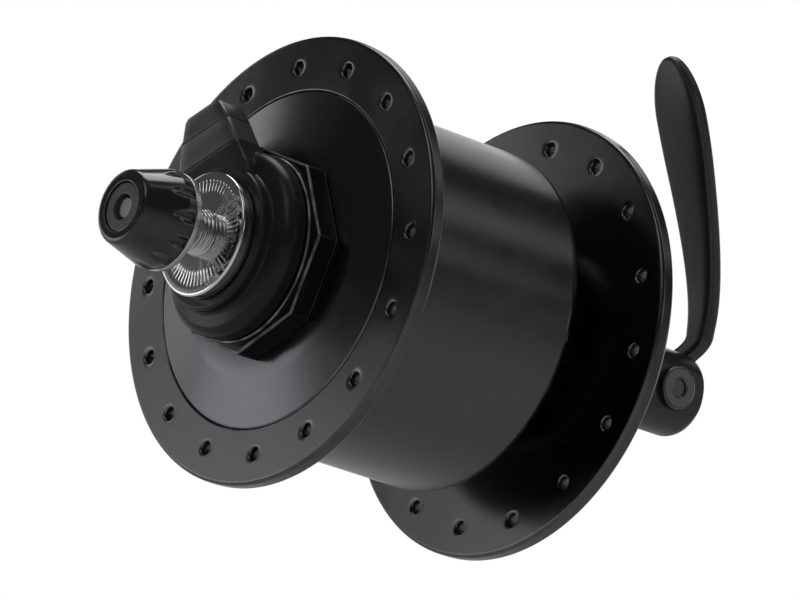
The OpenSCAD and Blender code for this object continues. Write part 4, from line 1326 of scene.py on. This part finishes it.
    def build(self, fitter: Fitter) -> None:
        """Builds and dresses everything that stands still between the fork ends.

        Args:
            fitter: Puts the finished pieces on their bodies.
        """
        fitter.fit(self.axle(), "axle", STEEL)
        fitter.fit(self.locknut(), "left_locknut", STEEL)
        fitter.fit(self.end_nut(), "right_end_nut", POLISHED)
        fitter.fit(self.spacer(), "left_spacer", STEEL)
        fitter.fit(self.seal(), "left_rubber_seal", RUBBER)
        fitter.fit(self.terminal(), "terminal_ring", TERMINAL)
        fitter.dress(RACE, "left_cone", "right_cone")
        fitter.dress(STEEL, "left_stator_nut", "right_stator_nut")
        fitter.dress(YOKE, "stator_core", "left_claw_yoke", "right_claw_yoke")
        fitter.dress(SPOOL, "coil_bobbin")
        fitter.dress(COPPER, "coil_winding")
        fitter.dress(BRASS, "terminal_contacts")
        fitter.dress(LEAD, "lead_wire")


# The connector

@dataclass
class Connector:
    """Plug that pushes onto the two blades, and its cap with the hole for the cable."""

    middle: float = -43.4
    half_depth: float = 3.3
    corner: float = 0.9
    edge: float = 0.3
    foot_half: float = 8.8
    slope: float = 0.309
    foot: float = 18.0
    split: float = 24.0
    joint: float = 0.05
    top: float = 29.05
    shoulder: tuple[tuple[float, float, float, float], ...] = (
        (1.0, 5.4, 0.0, 0.9), (0.35, 4.75, 0.1, 0.9), (0.0, 4.25, 0.35, 0.8))
    cable_r: float = 2.1
    cable_deep: float = 3.9

    def half(self, height: float) -> float:
        """Half width of the tapering body at a height."""
        return self.foot_half - self.slope * (height - self.foot)

    def plug(self) -> Piece:
        """Plug body: a stack of rounded rectangles that narrows upward."""
        rows = [(z, self.half(z), self.half_depth, self.corner) for z in (self.foot, self.split)]
        return Skin().grid(leaned(stacked(rows, self.edge, self.middle))).piece("plug_body")

    def cap(self) -> Piece:
        """Cap: it carries the plug's taper on, and a round hole runs down through its top.

        The top face blends each point of the last rectangle towards the hole's circle at the angle
        whose tangent is the point's depth over its width, each taken against its own half size.

        Returns:
            The piece.
        """
        base, deep = self.split + self.joint, self.half_depth
        rows = [(base, self.half(base), deep, self.corner)]
        rows += [(self.top - below, wide, deep - inset, corner)
                 for below, wide, inset, corner in self.shoulder]
        body = stacked(rows, self.edge, self.middle)[:-1]
        across, aside = body[-1, :, 0], body[-1, :, 1] - self.middle
        angle = np.arctan2(aside / aside.max(), across / across.max())
        mouth = np.array([(0.35, 0.0), (0.12, -0.08), (0.0, -0.35), (0.0, -self.cable_deep),
                          (-self.cable_r, -self.cable_deep)])
        ring, height = self.cable_r + mouth[:, :1], self.top + mouth[:, 1:]
        hole = np.stack([ring * np.cos(angle), self.middle + ring * np.sin(angle),
                         np.broadcast_to(height, (len(mouth), len(angle)))], -1)
        halfway = (body[-1] + hole[0]) / 2
        return Skin().grid(leaned(np.concatenate([body, halfway[None], hole]))).piece("plug_cap")

    def build(self, fitter: Fitter) -> None:
        """Builds and dresses the connector."""
        fitter.fit(self.plug(), "connector_plug", PLUG)
        fitter.fit(self.cap(), "connector_cap", CAP)


# The quick release

class Side(IntEnum):
    """Which side of the hub, as the sign of its places along the axle."""

    LEVER = 1
    NUT = -1

    def named(self, what: str) -> str:
        """Name of a piece on this side."""
        return f"{what}_{self.name.lower()}_side"


@dataclass
class QuickRelease:
    """Skewer with its cam housing and lever on one end and its adjusting nut on the other."""

    cam_y: float = 70.0
    clamp: float = 58.0
    washer_t: float = 1.2
    washer_teeth: int = 60
    washer_teeth_r: float = 7.0
    washer_bite: float = 0.24
    washer_rim: float = 0.2
    seat: float = 59.25
    pocket: float = 60.9
    spring_room: float = 6.6
    rod_room: float = 2.55
    rod_hole: float = 2.8
    cam_room: float = 63.2
    housing_r: float = 8.7
    housing_rim: float = 10.0
    housing_end: float = 78.3
    flat_x: float = 7.3
    flat_run: float = 2.0
    flat_fade: float = 0.6
    foot_top: float = 61.9
    foot_rim: float = 60.25
    foot_step_r: float = 9.0
    foot_step: float = 61.45
    barrel: float = 62.25
    barrel_round: float = 3.0
    tail_r: float = 4.4
    tail_bore: float = 1.85
    tail_in: float = 7.4
    tail_out: float = 8.6
    head_r: float = 7.4
    head_in: float = 7.5
    head_t: float = 4.3
    lever_len: float = 67.0
    bulge: float = 10.4
    elbow: float = 15.0
    hook: float = 11.4
    lever_w: float = 13.0
    lever_tip: float = 12.0
    neck_w: float = 5.2
    lever_t: float = 3.8
    arm_root: float = 3.5
    arm_level: float = 0.9
    widen_part: float = 0.75
    root_thin: float = 0.4
    root_swell: float = 3.6
    fullness: float = 0.45
    voxel: float = 0.26
    nut_r: float = 9.8
    nut_end: float = 70.0
    nut_tip_r: float = 7.25
    nut_taper: float = 61.25
    mouth_r: float = 5.0
    mouth_in: float = 67.2
    insert_r: float = 4.97
    insert_in: float = 67.25
    insert_out: float = 69.65
    flutes: int = 12
    flute_r: float = 1.3
    flute_out: float = 0.5
    fluted_r: float = 7.0
    wire_r: float = 0.4
    spring_from: float = 3.6
    spring_to: float = 5.9
    spring_turns: float = 2.5
    spring_in: float = 54.6
    spring_rise: float = 5.7
    spring_flat: float = 0.07

    def lever_line(self, t: Array) -> Array:
        """Middle line of the lever: two Bezier curves, the bend out of the head and the long arm.

        Args:
            t: Place along it, 0 to 1 on the bend and 1 to 2 on the arm.

        Returns:
            Rows of distance out from the cam's centre and height above it.
        """
        start = 0.1 * self.elbow
        bend = bezier([
            (0.25 * self.bulge, start), (0.92 * self.bulge, start), (1.06 * self.bulge, self.elbow / 2),
            (self.bulge, self.elbow)], np.clip(t, 0, 1))
        arm = bezier([
            (self.bulge, self.elbow), (self.bulge, self.elbow + 10), (3.2, 0.6 * self.lever_len),
            (-self.hook, self.lever_len)], np.clip(t - 1, 0, 1))
        return np.where((t < 1)[:, None], bend, arm)

    def lever_arm(self) -> Array:
        """Grid of the lever's arm: rounded sections square to its middle line.

        A section is the curve |x / w|^n + |d / h|^n = 1 with n = 2 / fullness. Its half width w grows
        evenly up the arm and follows an ellipse round the tip, where the half thickness h runs out
        too. The arm swings across from the head's side to the middle on its way up the bend, and
        the stations gather on the tip as the sine of an even step.

        Returns:
            Points as rows, columns and coordinates.
        """
        even, nudge = 1.9, 0.004
        last = even + 0.0995 * np.sin(np.linspace(0.1, TURN / 4, 16))
        t = np.concatenate([np.linspace(0.02, even, 110), last])
        along = self.lever_line(np.minimum(t + nudge, 2.0)) - self.lever_line(t - nudge)
        along /= length(along)
        d, z = np.split(self.lever_line(t), 2, axis=1)
        swing = ease((z - self.arm_root) / (self.arm_level * self.elbow - self.arm_root))
        widen = (z - self.widen_part * self.elbow) / (self.widen_part * (self.lever_len - self.elbow))
        widen = soft_min(-soft_min(-widen, np.zeros_like(z), 0.08), np.ones_like(z), 0.12)
        tip = np.clip(1 + (z - self.lever_len + 0.15) / self.lever_tip, 0, 1)
        end = self.lever_w / 2 * np.sqrt(1 - tip ** 2)
        half = self.neck_w / 2 - self.root_thin * (1 - swing) + self.root_swell * swing * (1 - swing)
        half = np.minimum(half + widen * (self.lever_w - self.neck_w) / 2, end + 0.05)
        thin = np.minimum(1.0, 0.35 + 0.65 * end / (self.lever_w / 2))
        thin = thin * np.minimum(1, end / 0.9 + 0.1)
        aside = -(self.head_in + self.head_t / 2) * (1 - swing)
        across, out = (np.sign(v) * np.abs(v) ** self.fullness
                       for v in (np.cos(turn_angles(56)), np.sin(turn_angles(56))))
        out = self.lever_t / 2 * thin * out
        x, y, up = aside + half * across, self.cam_y + d + out * along[:, 1:], z - out * along[:, :1]
        return capped(np.stack([x, y, up], -1))

    def lever(self) -> Piece:
        """Lever: arm and head disc run together into one forging.

        Both closed skins are made into one by a voxel remesh, whose smoothing gives the fillet
        between them, and the result is kept as a plain mesh.

        Returns:
            The piece.
        """
        near, far = -self.head_in, -self.head_in - self.head_t
        disc = rounded([(0.0, near, 0), (self.head_r, far, 0.4, 0.9), (0.0, far - 0.25, 0)], closed=False)
        disc = revolve(np.maximum(disc, [0.0, far - 0.02]), turn_angles(96))
        rough = Skin().grid(self.lever_arm()).grid(crosswise(disc, self.cam_y)).piece("lever_rough")
        join = rough.modifiers.new("join", "REMESH")
        join.mode, join.voxel_size = "VOXEL", self.voxel * MM
        even = rough.modifiers.new("even", "SMOOTH")
        even.factor, even.iterations = 0.5, 6
        mesh = bpy.data.meshes.new_from_object(rough.evaluated_get(bpy.context.evaluated_depsgraph_get()))
        bpy.data.objects.remove(rough)
        if "edge" in mesh.attributes:
            mesh.attributes.remove(mesh.attributes["edge"])
        return finish_mesh(mesh, "lever_forging", 60.0)

    def housing(self) -> Piece:
        """Cam housing: a barrel with a flared foot and a rounded end, flattened on two sides.

        The flats take the softened least of the barrel's radius and the flat's distance over the
        cosine of the angle. Below them the flat's distance grows until it no longer cuts.

        Returns:
            The piece.
        """

        def flats(r: Array, y: Array, a: Array) -> tuple[Array, Array]:
            """Cuts the two side flats.

            Args:
                r: Radii of the points.
                y: Their places along the axle.
                a: Their angles round it, in radians.

            Returns:
                Radii and places along the axle.
            """
            reach = self.flat_x + self.flat_run * (1 - ease((y - self.foot_top) / self.flat_fade))
            cut = reach / np.maximum(np.abs(np.cos(a)), 0.001)
            return np.where(r > self.spring_room + 0.05, soft_min(r, cut, 0.2), r), y

        line = rounded([
            (0.0, self.cam_room, 0), (self.rod_hole, self.pocket, 0.1, 0.2),
            (self.spring_room, self.seat, 0.3, 0.25), (self.housing_rim, self.foot_rim, 0.25, 0.3),
            (self.foot_step_r, self.foot_step, 0.5), (self.housing_r, self.barrel, 0.4),
            (self.housing_r, self.housing_end, self.barrel_round),
            (0.0, self.housing_end, 0)], closed=False, steps=10, longest=0.4)
        return turned("cam_barrel", line, 160, flats, closed=False)

    def tail_nut(self) -> Piece:
        """Small round nut on the camshaft's far end, its rim eased and its hole countersunk.

        Returns:
            The piece.
        """
        line = rounded([(self.tail_bore, self.tail_in, 0.1), (self.tail_r, self.tail_out, 0.1, 0.45),
                        (self.tail_bore, self.tail_out, 0.35)])
        ring = crosswise(revolve(line, turn_angles(72)), self.cam_y)
        return Skin().grid(ring, closed=True).piece("tail_nut")

    def washer(self, side: Side, radius: float) -> Piece:
        """Toothed washer that bites the fork end.

        Args:
            side: Which side it sits on.
            radius: Outer radius.

        Returns:
            The piece.
        """

        def toothed(r: Array, y: Array, a: Array) -> tuple[Array, Array]:
            """Presses the teeth into the clamping face.

            Args:
                r: Radii of the points.
                y: Their places along the axle.
                a: Their angles round it, in radians.

            Returns:
                Radii and places along the axle.
            """
            low, high = self.washer_teeth_r, radius - self.washer_rim
            cut = side * teeth(r, a, self.washer_teeth, low, high, self.washer_bite)
            return r, y + cut * (np.abs(y) < self.clamp + 0.01)

        back = self.clamp + self.washer_t
        line = rounded([(self.spring_room, self.clamp, 0.1), (radius, back, 0.15, 0.2),
                        (self.spring_room, back, 0.1)], longest=0.4)
        return turned(side.named("clamp_washer"), line * [1.0, side], 360, toothed)

    def adjusting_nut(self) -> Piece:
        """Adjusting nut: a tapering knob with finger flutes that run out on the taper.

        A flute is a circle of radius c centred a distance d from the axle: the near crossing of the
        ray at an angle f from its middle, d cos f less the root of c squared less (d sin f) squared.

        Returns:
            The piece.
        """
        centre, pitch = self.nut_r + self.flute_out, TURN / self.flutes

        def fluted(r: Array, y: Array, a: Array) -> tuple[Array, Array]:
            """Cuts the flutes into the outer wall.

            Args:
                r: Radii of the points.
                y: Their places along the axle.
                a: Their angles round it, in radians.

            Returns:
                Radii and places along the axle.
            """
            off = (a + pitch / 2) % pitch - pitch / 2
            under = self.flute_r ** 2 - (centre * np.sin(off)) ** 2
            cut = centre * np.cos(off) + np.where(under > 0, -np.sqrt(np.maximum(under, 0)), 0.4)
            return np.where(r > self.fluted_r, soft_min(r, cut, 0.3), r), y

        line = rounded([
            (self.spring_room, -self.seat, 0.2), (self.nut_r, -self.nut_taper, 0.3, 2.5),
            (self.nut_tip_r, -self.nut_end, 1.2),
            (self.mouth_r, -self.mouth_in, 0.15, 0), (self.rod_room, -self.pocket, 0, 0),
            (self.spring_room, -self.pocket, 0)], longest=0.45)
        return turned("adjusting_knob", line, 240, fluted)

    def insert(self) -> Piece:
        """Grey ring in the end of the adjusting nut that grips the rod's thread.

        Returns:
            The piece.
        """
        line = rounded([(self.rod_room, -self.insert_out, 0.25), (self.insert_r, -self.insert_in, 0.4, 0.1),
                        (self.rod_room, -self.insert_in, 0.1)])
        return turned("nut_insert_ring", line, 72)

    def spring(self, side: Side) -> Piece:
        """Cone spring: a wire on a spiral whose radius grows evenly and whose end turns lie flat.

        Args:
            side: Which side it sits on.

        Returns:
            The piece.
        """
        u = np.linspace(0.0, 1.0, 200)
        a, r = TURN * self.spring_turns * u, self.spring_from + (self.spring_to - self.spring_from) * u
        rise = np.clip((u - self.spring_flat) / (1 - 2 * self.spring_flat), 0, 1)
        y = side * (self.spring_in + self.spring_rise * rise)
        path = np.stack([r * np.cos(a), y, r * np.sin(a)], 1)
        return Skin().grid(swept(path, self.wire_r)).piece(side.named("cone_spring"))

    def build(self, fitter: Fitter) -> None:
        """Builds and dresses the quick release.

        Args:
            fitter: Puts the finished pieces on their bodies.
        """
        fitter.fit(self.housing(), "cam_housing", SATIN_ALLOY)
        fitter.fit(self.tail_nut(), "camshaft_nut", BLACK_ALLOY)
        fitter.fit(self.lever(), "quick_release_lever", SATIN_ALLOY)
        fitter.fit(self.washer(Side.LEVER, self.housing_rim), "cam_face_washer", STEEL)
        fitter.fit(self.washer(Side.NUT, self.nut_r), "nut_face_washer", STEEL)
        fitter.fit(self.adjusting_nut(), "adjusting_nut", BLACK_ALLOY)
        fitter.fit(self.insert(), "nut_insert", INSERT)
        fitter.fit(self.spring(Side.LEVER), "left_spring", SPRING)
        fitter.fit(self.spring(Side.NUT), "right_spring", SPRING)
        fitter.dress(STEEL, "skewer_rod")
        fitter.dress(BLACKENED, "camshaft")


# Camera, light and floor

@dataclass
class Studio:
    """Camera, soft lamps, pale floor and surroundings."""

    azimuth: float = 51.0
    elevation: float = -10.07
    roll: float = 10.9
    distance: float = 1.252
    target: tuple[float, float, float] = (0.0006, 0.0007, 0.0002)
    lens: float = 287.0
    floor_z: float = -0.12
    floor_half: float = 6.0

    @staticmethod
    def place(name: str, data: bpy.types.ID) -> Piece:
        """Links a new object that holds a mesh, a lamp or a camera.

        Args:
            name: Name of the object.
            data: The mesh, lamp or camera.

        Returns:
            The object.
        """
        thing = bpy.data.objects.new(name, data)
        bpy.context.scene.collection.objects.link(thing)
        return thing

    def camera(self) -> None:
        """Sets the camera on its ray to the target and turns it by its roll about that ray."""
        a, e, roll = (math.radians(v) for v in (self.azimuth, self.elevation, self.roll))
        back = Vector((math.sin(a) * math.cos(e), -math.cos(a) * math.cos(e), math.sin(e)))
        level = (-back).cross(Vector((0, 0, 1))).normalized()
        right = level * math.cos(roll) + level.cross(-back) * math.sin(roll)
        turn = Matrix((right, back.cross(right), back)).transposed().to_4x4()
        data = bpy.data.cameras.new("camera")
        data.lens, data.sensor_width = self.lens, 36.0
        data.clip_start, data.clip_end = 0.05, 50.0
        camera = self.place("camera", data)
        camera.matrix_world = Matrix.Translation(Vector(self.target) + back * self.distance) @ turn
        bpy.context.scene.camera = camera

    def lamp(self, name: str, at: Sequence[float], size: Sequence[float], turn: float, power: float,
             spread: float = 180.0) -> None:
        """Adds a soft lamp that faces the hub.

        Args:
            name: Name of the lamp.
            at: Its place, in metres.
            size: Its width and height.
            turn: How far it is turned about its own ray, in degrees.
            power: Its power in watts.
            spread: Whole angle of its beam, in degrees, narrower where it has a grid.
        """
        data = bpy.data.lights.new(name, "AREA")
        data.shape, data.energy, data.spread = "RECTANGLE", power, math.radians(spread)
        data.size, data.size_y = size
        lamp = self.place(name, data)
        lamp.visible_camera = False
        lamp.location = at
        facing = Vector(at).to_track_quat("Z", "Y") @ Quaternion((0, 0, 1), math.radians(turn))
        lamp.rotation_euler = facing.to_euler()

    def floor(self) -> None:
        """Large pale floor, clear from below, that melts into the surroundings far out."""
        mesh = bpy.data.meshes.new("floor")
        corners = [(x * self.floor_half, y * self.floor_half, self.floor_z)
                   for x, y in ((-1, -1), (1, -1), (1, 1), (-1, 1))]
        mesh.from_pydata(corners, [], [(0, 1, 2, 3)])
        made = bpy.data.materials.new("pale_floor")
        g = Graph.of(made)
        seen = g.add("LightPath", result="Is Camera Ray")
        x, y, _ = g.parts(g.add("NewGeometry", result="Position"))
        far = (x * x + y * y).root().step(0.25, 1.2) * seen
        pale = g.blend(g.add("TexNoise", {"Scale": 300.0}), (0.80, 0.80, 0.79, 1.0), (0.84, 0.84, 0.83, 1.0))
        tone = g.blend(seen, (0.43, 0.43, 0.43, 1.0), pale)
        matt = g.add("BsdfPrincipled", {"Base Color": tone, "Roughness": 0.7})
        white = g.add("Emission", {"Color": WHITE})
        near = g.add("MixShader", {0: far, 1: matt, 2: white})
        below = g.add("NewGeometry", result="Backfacing")
        both = g.add("MixShader", {0: below, 1: near, 2: g.add("BsdfTransparent")})
        g.node("OutputMaterial", {"Surface": both})
        mesh.materials.append(made)
        self.place("floor", mesh)

    def surroundings(self) -> None:
        """White surroundings, with a darker ceiling that only the reflections see.

        Seen by the camera they are plain white. In a reflection they are white up to a little above
        the horizon, higher on the far side, and dark above that.
        """
        world = bpy.data.worlds.new("surroundings")
        bpy.context.scene.world = world
        g = Graph.of(world)
        toward = g.add("TexCoord", result="Generated")
        height = g.parts(toward)[2]
        behind, left = (g.add("VectorMath", {0: toward, 1: way}, "Value", operation="DOT_PRODUCT")
                        for way in ((-0.77, 0.62, 0.1), (-0.78, -0.62, 0.0)))
        lift = behind.at_least(0.0) * 0.38 - left.at_least(0.0) * 0.22
        bright = behind.step(-0.2, 0.5, 0.14) * (height - lift).step(0.10, 0.20, 1.0, 0.0) + 0.05
        diffuse = height.step(-0.3, 0.9, 0.62, 0.78)
        seen, mirrored, through = (g.add("LightPath", result=f"Is {kind} Ray")
                                   for kind in ("Camera", "Glossy", "Transmission"))
        glossy = mirrored.at_least(through)
        level = (bright * glossy + diffuse * (1.0 - glossy)) * (1.0 - seen) + seen
        sky = g.add("Background", {"Color": WHITE, "Strength": level})
        g.node("OutputWorld", {"Surface": sky})

    def build(self) -> None:
        """Sets up everything that isn't part of the hub."""
        self.camera()
        self.floor()
        self.surroundings()
        self.lamp("top_softbox", (-0.35, 0.1, 1.2), (0.7, 0.7), 0, 5.0)
        self.lamp("low_left_softbox", (-0.259, -0.244, -0.040), (0.140, 0.148), 60, 0.0228, 90)
        self.lamp("left_strip", (-0.255, -0.137, 0.092), (0.053, 0.128), 15, 0.0095, 90)
        self.lamp("right_softbox", (0.460, 0.198, 0.194), (0.292, 0.151), 19, 0.0226, 90)
        self.lamp("high_right_softbox", (0.266, 0.263, 0.534), (0.196, 0.465), 14, 0.0528, 90)
        self.lamp("head_softbox", (0.37, 0.40, 0.085), (0.07, 0.09), 0, 0.0043, 90)
        self.lamp("front_fill", (0.12, -0.72, 0.58), (0.5, 0.5), 0, 0.8)
        self.lamp("back_fill", (-0.36, 0.62, 0.60), (0.4, 0.4), 0, 0.4)
        bpy.context.scene.view_settings.view_transform = "Standard"


def main() -> None:
    """Builds the sub-assemblies in order, then the studio."""
    logging.basicConfig(level=logging.INFO, format="%(name)s: %(message)s")
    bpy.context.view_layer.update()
    fitter = Fitter()
    for assembly in (TurningShell(), AxleAssembly(), Connector(), QuickRelease()):
        assembly.build(fitter)
    Studio().build()


if __name__ == "__main__":
    main()
